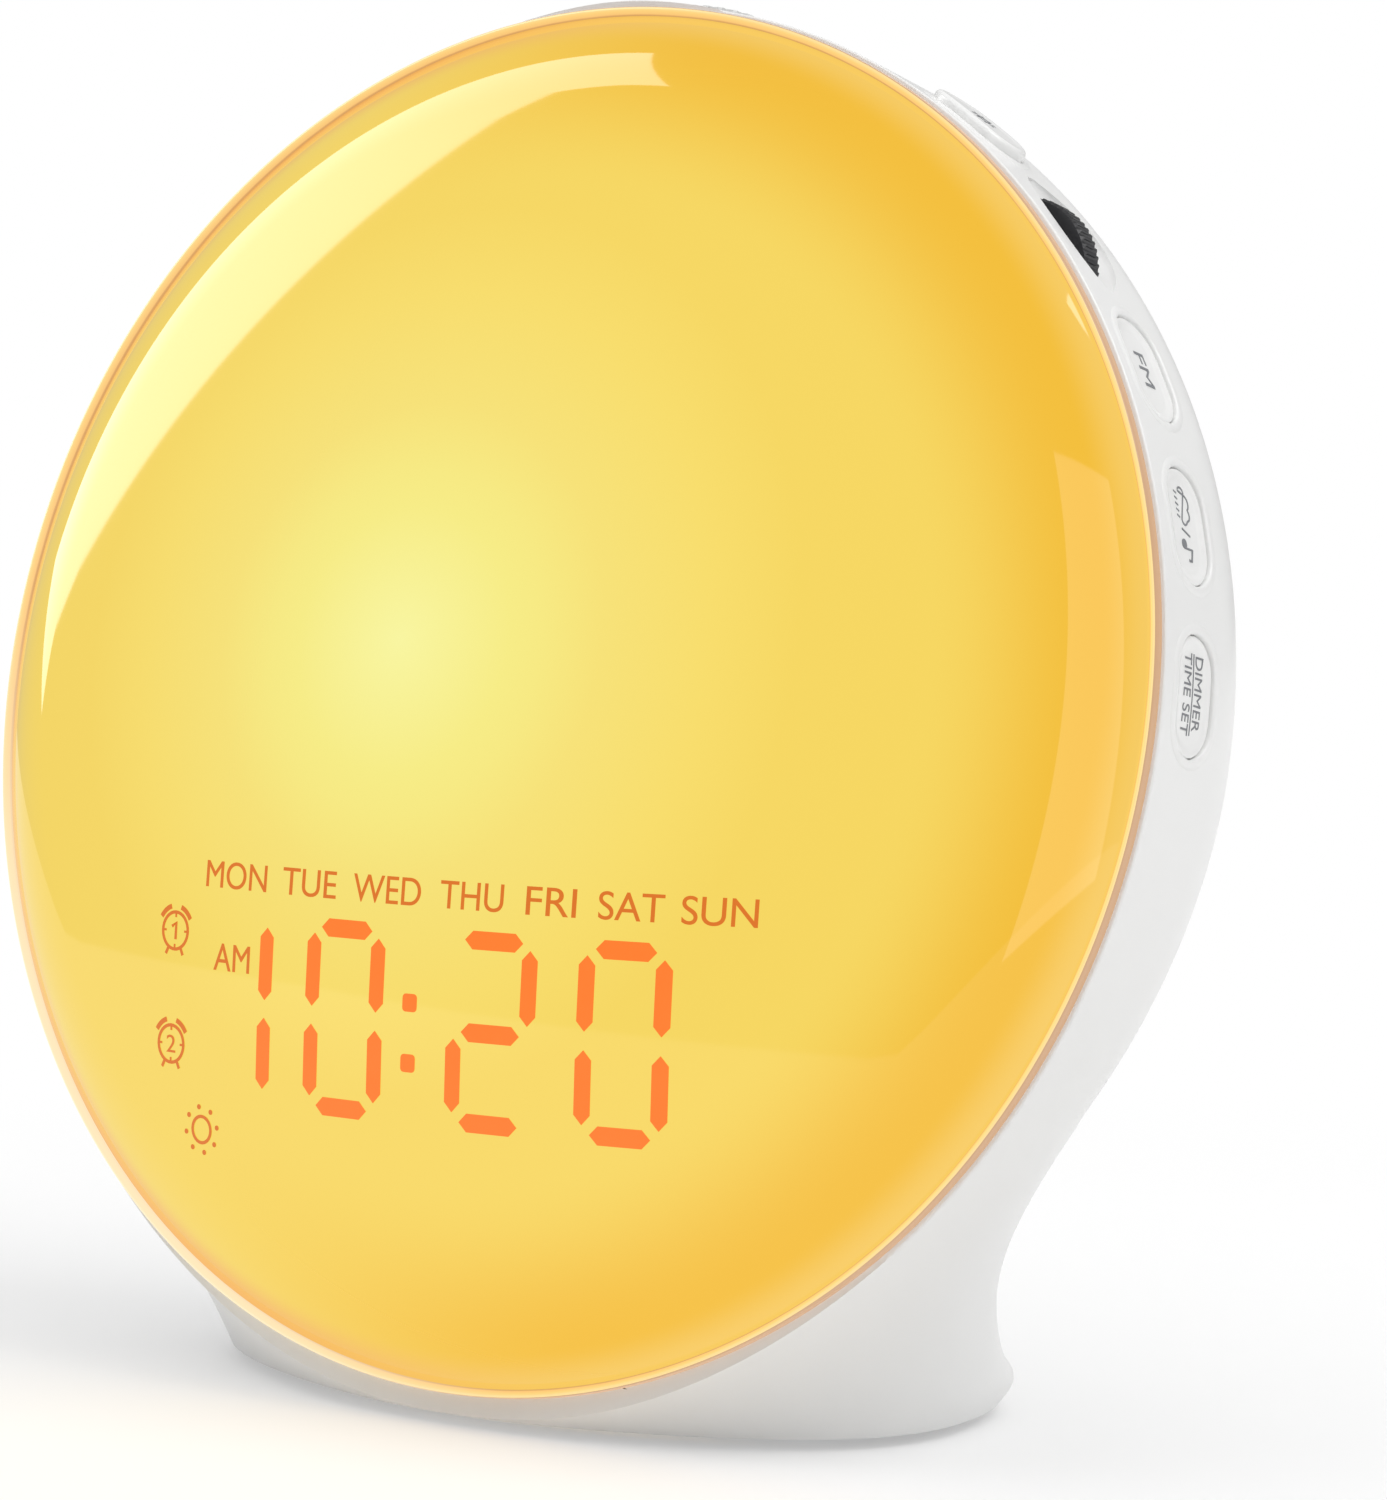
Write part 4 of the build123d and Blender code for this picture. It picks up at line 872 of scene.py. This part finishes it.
def makeKey(name):
    # a pill with a soft edge and a shallow dish, on its lugs and stem
    proud, edge, dish = keyShape(name)
    rise = [(key["foot"], 0.0), (proud - edge, 0.0)]
    for turn in key["bevelTurns"]:
        rise.append((proud - edge + edge * sin(radians(turn)), -edge + edge * cos(radians(turn))))
    for i in range(1, key["dishSteps"] + 1):
        inward = key["dishWide"] * i / key["dishSteps"]
        rise.append((dishHeight(name, edge + inward), -edge - inward))
    parts = [wrappedPill(bandAngle(name), rise, key["length"], key["width"]),
             keyBlock(name, key["length"] + 2 * key["lug"], key["lugWide"], key["lugThick"]),
             keyBlock(name, key["stemWide"], key["stemWide"], key["stem"])]
    piece = joined(name + "_cap", [(part, faceToWorld) for part in parts])
    return finishPiece(piece, [keyWhite], name, [name], 30)


for name in keySteps:
    makeKey(name)
print("keys made")


# display

display = {
    "proud": 0.03, "thick": 0.06, "bow": 0.0004, "segment": 2.25, "point": 1.15,
    # middles of the upright segments and which are lit, upper 0 and lower 1, their tips, the middles of
    # the level segments, and the ends and places of the lit level ones
    "uprights": [(-26.8, (0, 1)), (-18.7, (0, 1)), (-8.3, (0, 1)), (3.85, (1,)), (14.55, (0,)),
                 (22.6, (0, 1)), (33.1, (0, 1))],
    "tips": ((-33.4, -42.4), (-44.6, -53.4)), "levels": (-32.6, -43.7, -54.5), "levelInset": 1.1,
    "bars": [(-18.7, -8.3, (0, 2)), (3.85, 14.55, (0, 1, 2)), (22.6, 33.1, (0, 2))],
    "colonX": -3.0, "colon": (-40.8, -48.1), "colonSize": 2.2, "colonRound": 0.5,
    "capHeight": 3.4, "dayBase": -29.1,
    "days": {"MON": (-38.3, -27.5), "TUE": (-24.7, -15.7), "WED": (-12.9, -2.2), "THU": (0.8, 10.2),
             "FRI": (13.5, 20.6), "SAT": (23.7, 32.6), "SUN": (34.9, 44.8)},
    "noon": ("AM", (-36.1, -29.7), -39.4),
    "clocks": {"1": (-43.55, -35.1), "2": (-43.55, -49.4)}, "clockRadius": 2.35, "line": 0.42,
    "sun": (-37.6, -59.6), "sunRadius": 1.65, "rayReach": 2.85, "rayRadius": 0.33,
}


def litInk(name, colours, strength):
    # light from behind through a printed window: even, saturated, with a faint unevenness
    mat = startMaterial(name)
    uneven = noise(mat, faceCoords(mat), 4, 2)
    shader = addNode(mat, "BsdfPrincipled",
                     {"Base Color": "#3a1503", "Roughness": 0.3, "Emission Strength": strength,
                      "Emission Color": blend(mat, uneven, *colours)})
    return endMaterial(mat, shader)


digitOrange = litInk("digitOrangeLight", ("#ff7a1a", "#ff7f20"), 0.95)
dayOrange = litInk("dayAmberLight", ("#dd7112", "#e07516"), 0.93)


def fillOutline(bm, points):
    bm.faces.new([bm.verts.new((x, y, 0)) for x, y in points])


def disc(bm, centre, radius, steps=20):
    fillOutline(bm, arc(centre, radius, 0, 360 * (steps - 1) / steps, steps - 1))


def line(bm, points, width, closed=False):
    # a flat line of a width along points
    count = len(points)
    sides = []
    for i, point in enumerate(points):
        before = points[i - 1] if i or closed else point
        after = points[(i + 1) % count] if i < count - 1 or closed else point
        along = (Vector(after) - Vector(before)).normalized()
        across = Vector((-along.y, along.x)) * width / 2
        sides.append([bm.verts.new((*(Vector(point) + side * across), 0)) for side in (1, -1)])
    for i in range(count if closed else count - 1):
        near, far = sides[i], sides[(i + 1) % count]
        bm.faces.new((near[0], near[1], far[1], far[0]))


def words(bm, text, left, right, base, height):
    # letters that fill a width, with their feet on a base line
    curve = bpy.data.curves.new("words", "FONT")
    curve.body = text
    holder = newObject("words", curve)
    bpy.context.view_layer.update()
    mesh = bpy.data.meshes.new_from_object(holder.evaluated_get(bpy.context.evaluated_depsgraph_get()))
    bpy.data.objects.remove(holder)
    bpy.data.curves.remove(curve)
    letters = bmesh.new()
    letters.from_mesh(mesh)
    xs, ys = [v.co.x for v in letters.verts], [v.co.y for v in letters.verts]
    for vert in letters.verts:
        vert.co.x = left + (vert.co.x - min(xs)) / (max(xs) - min(xs)) * (right - left)
        vert.co.y = base + (vert.co.y - min(ys)) / (max(ys) - min(ys)) * height
    letters.to_mesh(mesh)
    letters.free()
    bm.from_mesh(mesh)
    bpy.data.meshes.remove(mesh)


def thicken(bm, amount):
    outward(bm)
    bmesh.ops.solidify(bm, geom=bm.faces[:], thickness=amount)
    outward(bm)


def litPiece(name, bm, ink):
    # what was drawn flat, with x across and y up the face, goes onto the dome
    thicken(bm, display["thick"])
    for vert in bm.verts:
        x, z, lift = vert.co.x, vert.co.y + display["bow"] * vert.co.x ** 2, abs(vert.co.z)
        vert.co = (x, domeDepth(sqrt(x ** 2 + z ** 2)) - display["proud"] - lift, z)
    outward(bm)
    return finishPiece(addMesh(bm, name, faceToWorld), [ink], "root", (), 30)


def makeDigits():
    d = display
    half, point = d["segment"] / 2, d["point"]
    bm = bmesh.new()
    for x, places in d["uprights"]:
        for place in places:
            top, low = d["tips"][place]
            fillOutline(bm, [(x, top), (x - half, top - point), (x - half, low + point), (x, low),
                             (x + half, low + point), (x + half, top - point)])
    for start, end, places in d["bars"]:
        left, right = start + d["levelInset"], end - d["levelInset"]
        for place in places:
            z = d["levels"][place]
            fillOutline(bm, [(left, z), (left + point, z - half), (right - point, z - half), (right, z),
                             (right - point, z + half), (left + point, z + half)])
    turn, reach = d["colonRound"], d["colonSize"] / 2 - d["colonRound"]
    for z in d["colon"]:
        corners = [(reach, reach, 0), (-reach, reach, 90), (-reach, -reach, 180), (reach, -reach, 270)]
        fillOutline(bm, [point for x, up, start in corners
                         for point in arc((d["colonX"] + x, z + up), turn, start, start + 90, 4)])
    litPiece("time_digits", bm, digitOrange)


def makeDays():
    bm = bmesh.new()
    for text, (left, right) in display["days"].items():
        words(bm, text, left, right, display["dayBase"], display["capHeight"])
    text, (left, right), base = display["noon"]
    words(bm, text, left, right, base, display["capHeight"])
    litPiece("day_names", bm, dayOrange)


# an alarm clock, in shares of its radius and of the line's width
clockIcon = {"bellTurn": 38, "bellHalf": 21, "bellReach": 1.34, "bellLine": 1.5, "footTurn": 28,
             "footReach": 1.45, "tick": (0.72, 0.95), "tickLine": 0.7, "number": 0.47}


def ray(centre, turn, reaches):
    # points along a direction from a centre
    t = radians(turn)
    return [(centre[0] + reach * cos(t), centre[1] + reach * sin(t)) for reach in reaches]


def alarmClock(bm, centre, radius, width, number):
    icon = clockIcon
    x, y = centre
    line(bm, arc(centre, radius, 0, 355, 31), width, closed=True)
    for side in (-1, 1):
        bell, foot = 90 + side * icon["bellTurn"], 270 + side * icon["footTurn"]
        line(bm, arc(centre, radius * icon["bellReach"], bell - icon["bellHalf"], bell + icon["bellHalf"], 8),
             width * icon["bellLine"])
        line(bm, ray(centre, foot, (radius, radius * icon["footReach"])), width)
    for turn in (0, 90, 180, 270):
        line(bm, ray(centre, turn, [radius * share for share in icon["tick"]]), width * icon["tickLine"])
    half = radius * icon["number"]
    if number == "1":
        line(bm, [(x - half * 0.6, y + half * 0.45), (x + half * 0.1, y + half), (x + half * 0.1, y - half)],
             width)
    else:
        words(bm, number, x - half * 0.75, x + half * 0.75, y - half, half * 2)


def makeIcons():
    d = display
    bm = bmesh.new()
    for number, centre in d["clocks"].items():
        alarmClock(bm, centre, d["clockRadius"], d["line"], number)
    line(bm, arc(d["sun"], d["sunRadius"], 0, 348, 29), d["line"], closed=True)
    for x, y in arc(d["sun"], d["rayReach"], 10, 325, 7):
        disc(bm, (x, y), d["rayRadius"], 12)
    litPiece("alarm_icons", bm, dayOrange)


makeDigits()
makeDays()
makeIcons()
print("display made")


# printed legends on the keys

# words are text, left, right, base and height
legend = {
    "line": 0.26, "fine": 0.208, "bold": 0.364, "thick": 0.03, "lift": 0.015, "arm": 1.2, "bar": 0.3,
    "radio": ("FM", -2.4, 2.4, -1.1, 2.3), "dimmer": ("DIMMER", -4.9, 3.9, 0.75, 1.75),
    "timeSet": ("TIME SET", -5.1, 4.6, -1.9, 1.75), "dividerStart": -5.1, "dividerHeight": 0.3,
    "ring": 0.85, "rays": (1.25, 1.75), "clockCentre": (0, -0.2), "clockRadius": 1.5,
}


def onKey(name, draw):
    # what `draw` puts down flat reads down the right side and up the left, its top towards the rear
    half, straight = key["width"] / 2, (key["length"] - key["width"]) / 2
    bm = bmesh.new()
    draw(bm)
    thicken(bm, legend["thick"])
    for vert in bm.verts:
        x, y, thick = -vert.co.x, vert.co.y, abs(vert.co.z)
        inward = half - sqrt(max(abs(x) - straight, 0) ** 2 + y ** 2)
        vert.co = (x, y, dishHeight(name, inward) + legend["lift"] + thick)
    wrapOnBand(bm, bandAngle(name), key["depth"])
    finishPiece(addMesh(bm, name + "_legend", faceToWorld), [inkGrey], name)


def drawRadio(bm):
    words(bm, *legend["radio"])


def drawTime(bm):
    words(bm, *legend["dimmer"])
    # in short lengths, so that it follows the band
    line(bm, [(legend["dividerStart"] + 0.8 * i, legend["dividerHeight"]) for i in range(13)], legend["fine"])
    words(bm, *legend["timeSet"])


def drawSound(bm):
    # a cloud with rain, a stroke and a note
    cloud = arc((-4.2, 0.2), 0.75, 250, 110, 6)[::-1] + arc((-3.1, 0.75), 0.95, 160, 30, 7)
    cloud += arc((-1.6, 0.75), 0.8, 130, 10, 6) + arc((-0.9, 0.1), 0.65, 60, -80, 6)
    line(bm, cloud, legend["line"], closed=True)
    for i in range(5):
        x = -4.0 + i * 0.75
        line(bm, [(x, -0.95), (x - 0.25, -1.6)], legend["fine"])
    line(bm, [(0.35, -0.9), (1.05, 1.0)], legend["line"])
    disc(bm, (2.2, -0.75), 0.62, 16)
    line(bm, [(2.7, -0.7), (2.7, 1.25)], legend["line"])
    line(bm, [(2.6, 1.15), (4.1, 0.75), (4.1, 0.1)], legend["bold"])


def drawRing(bm, centre):
    line(bm, arc(centre, legend["ring"], 0, 345, 23), legend["line"], closed=True)


def drawLight(bm):
    drawRing(bm, (0, 0))
    for turn in range(0, 360, 45):
        line(bm, ray((0, 0), turn, legend["rays"]), legend["line"])


def drawColour(bm):
    for turn in (90, 210, 330):
        drawRing(bm, (cos(radians(turn)), sin(radians(turn))))


def drawPlus(bm):
    a, b = legend["arm"], legend["bar"] / 2
    fillOutline(bm, [(-a, -b), (-b, -b), (-b, -a), (b, -a), (b, -b), (a, -b), (a, b), (b, b), (b, a), (-b, a),
                     (-b, b), (-a, b)])


def drawMinus(bm):
    line(bm, [(-legend["arm"], 0), (legend["arm"], 0)], legend["bar"])


def drawAlarm(number):
    return lambda bm: alarmClock(bm, legend["clockCentre"], legend["clockRadius"], legend["line"], number)


drawings = {"button_fm": drawRadio, "button_time": drawTime, "button_sound": drawSound,
            "button_light": drawLight, "button_colour": drawColour, "button_plus": drawPlus,
            "button_minus": drawMinus, "button_alarm_1": drawAlarm("1"), "button_alarm_2": drawAlarm("2")}
for name, draw in drawings.items():
    onKey(name, draw)
print("legends made")


# stage, lamps and camera

studio = {"floorSize": 6.0, "paper": "#fbfbfb", "fade": (90, 270), "fadeLow": 0.4,
          "fill": 0.42, "white": 1.0, "azimuth": 34.22, "elevation": 4.37, "lens": 105.6,
          "camera": (324.65, -440.87, 34.2)}
# place and target in metres from the middle of the face, size, watts, roll, and what the lamp stays out
# of: two light the clock, and a window on the left and a dim screen behind the camera are only reflected
lamps = {
    "topSoftbox": ((-0.2, -0.1, 1.2), (0, 0, 0), (1.2, 1.2), 7.5, 0, "visible_glossy"),
    "sideFill": ((0.9, 0.1, 1.1), (0, 0, 0), (0.7, 0.7), 8, 0, None),
    "leftWindow": ((-0.79, -0.18, 0.54), (0, -0.06, -0.01), (0.34, 0.98), 4.4, -15, "visible_diffuse"),
    "rightScreen": ((0.6, -0.8, 0.36), (0, 0.02, 0.36), (0.56, 1.0), 2.6, 0, "visible_diffuse"),
}


def makeFloor():
    # white paper that fades to pure white away from the clock
    bm = bmesh.new()
    bmesh.ops.create_grid(bm, x_segments=1, y_segments=1, size=studio["floorSize"] / 2)
    floor = addMesh(bm, "floor", Matrix.Identity(4))
    mat = startMaterial("studioPaper")
    away = addNode(mat, "VectorMath", {0: objectCoords(mat)}, {"operation": "LENGTH"})
    fade = eased(mat, away.outputs["Value"], studio["fade"], studio["fadeLow"])
    path = addNode(mat, "LightPath").outputs
    seen = maths(mat, "MAXIMUM", path["Is Camera Ray"], path["Is Glossy Ray"])
    share = maths(mat, "MULTIPLY", fade, seen)
    paper = addNode(mat, "BsdfDiffuse", {"Color": studio["paper"]}).outputs[0]
    white = addNode(mat, "Emission", {"Strength": studio["white"]}).outputs[0]
    endMaterial(mat, addNode(mat, "MixShader", {0: share, 1: paper, 2: white}))
    floor.data.materials.append(mat)


def makeWorld():
    # white where the camera sees it, dimmer as light
    world = bpy.data.worlds.new("studio")
    bpy.context.scene.world = world
    world.use_nodes = True
    world.node_tree.nodes.clear()
    seen = addNode(world, "LightPath").outputs["Is Camera Ray"]
    fill, white = [addNode(world, "Background", {"Strength": studio[name], "Color": (1, 1, 1, 1)}).outputs[0]
                   for name in ("fill", "white")]
    mixed = addNode(world, "MixShader", {0: seen, 1: fill, 2: white})
    addNode(world, "OutputWorld", {"Surface": mixed.outputs[0]})


makeFloor()
makeWorld()
for name, (place, target, size, power, roll, unseen) in lamps.items():
    data = bpy.data.lights.new(name, "AREA")
    data.shape = "RECTANGLE"
    data.size, data.size_y = size
    data.energy = power
    lamp = newObject(name, data)
    lamp.location = faceCentre + Vector(place)
    aim = (Vector(target) - Vector(place)).to_track_quat("-Z", "Y").to_matrix().to_4x4()
    lamp.rotation_euler = (aim @ Matrix.Rotation(radians(roll), 4, "Z")).to_euler()
    if unseen:
        setattr(lamp, unseen, False)

camera = newObject("camera", bpy.data.cameras.new("camera"))
camera.data.lens = studio["lens"]
camera.data.clip_start = 0.01
camera.location = Vector(studio["camera"]) * mm + faceCentre
camera.rotation_euler = (radians(90 - studio["elevation"]), 0, radians(studio["azimuth"]))
bpy.context.scene.camera = camera
bpy.context.scene.view_settings.view_transform = "Standard"
print("stage ready")

bpy.context.view_layer.update()
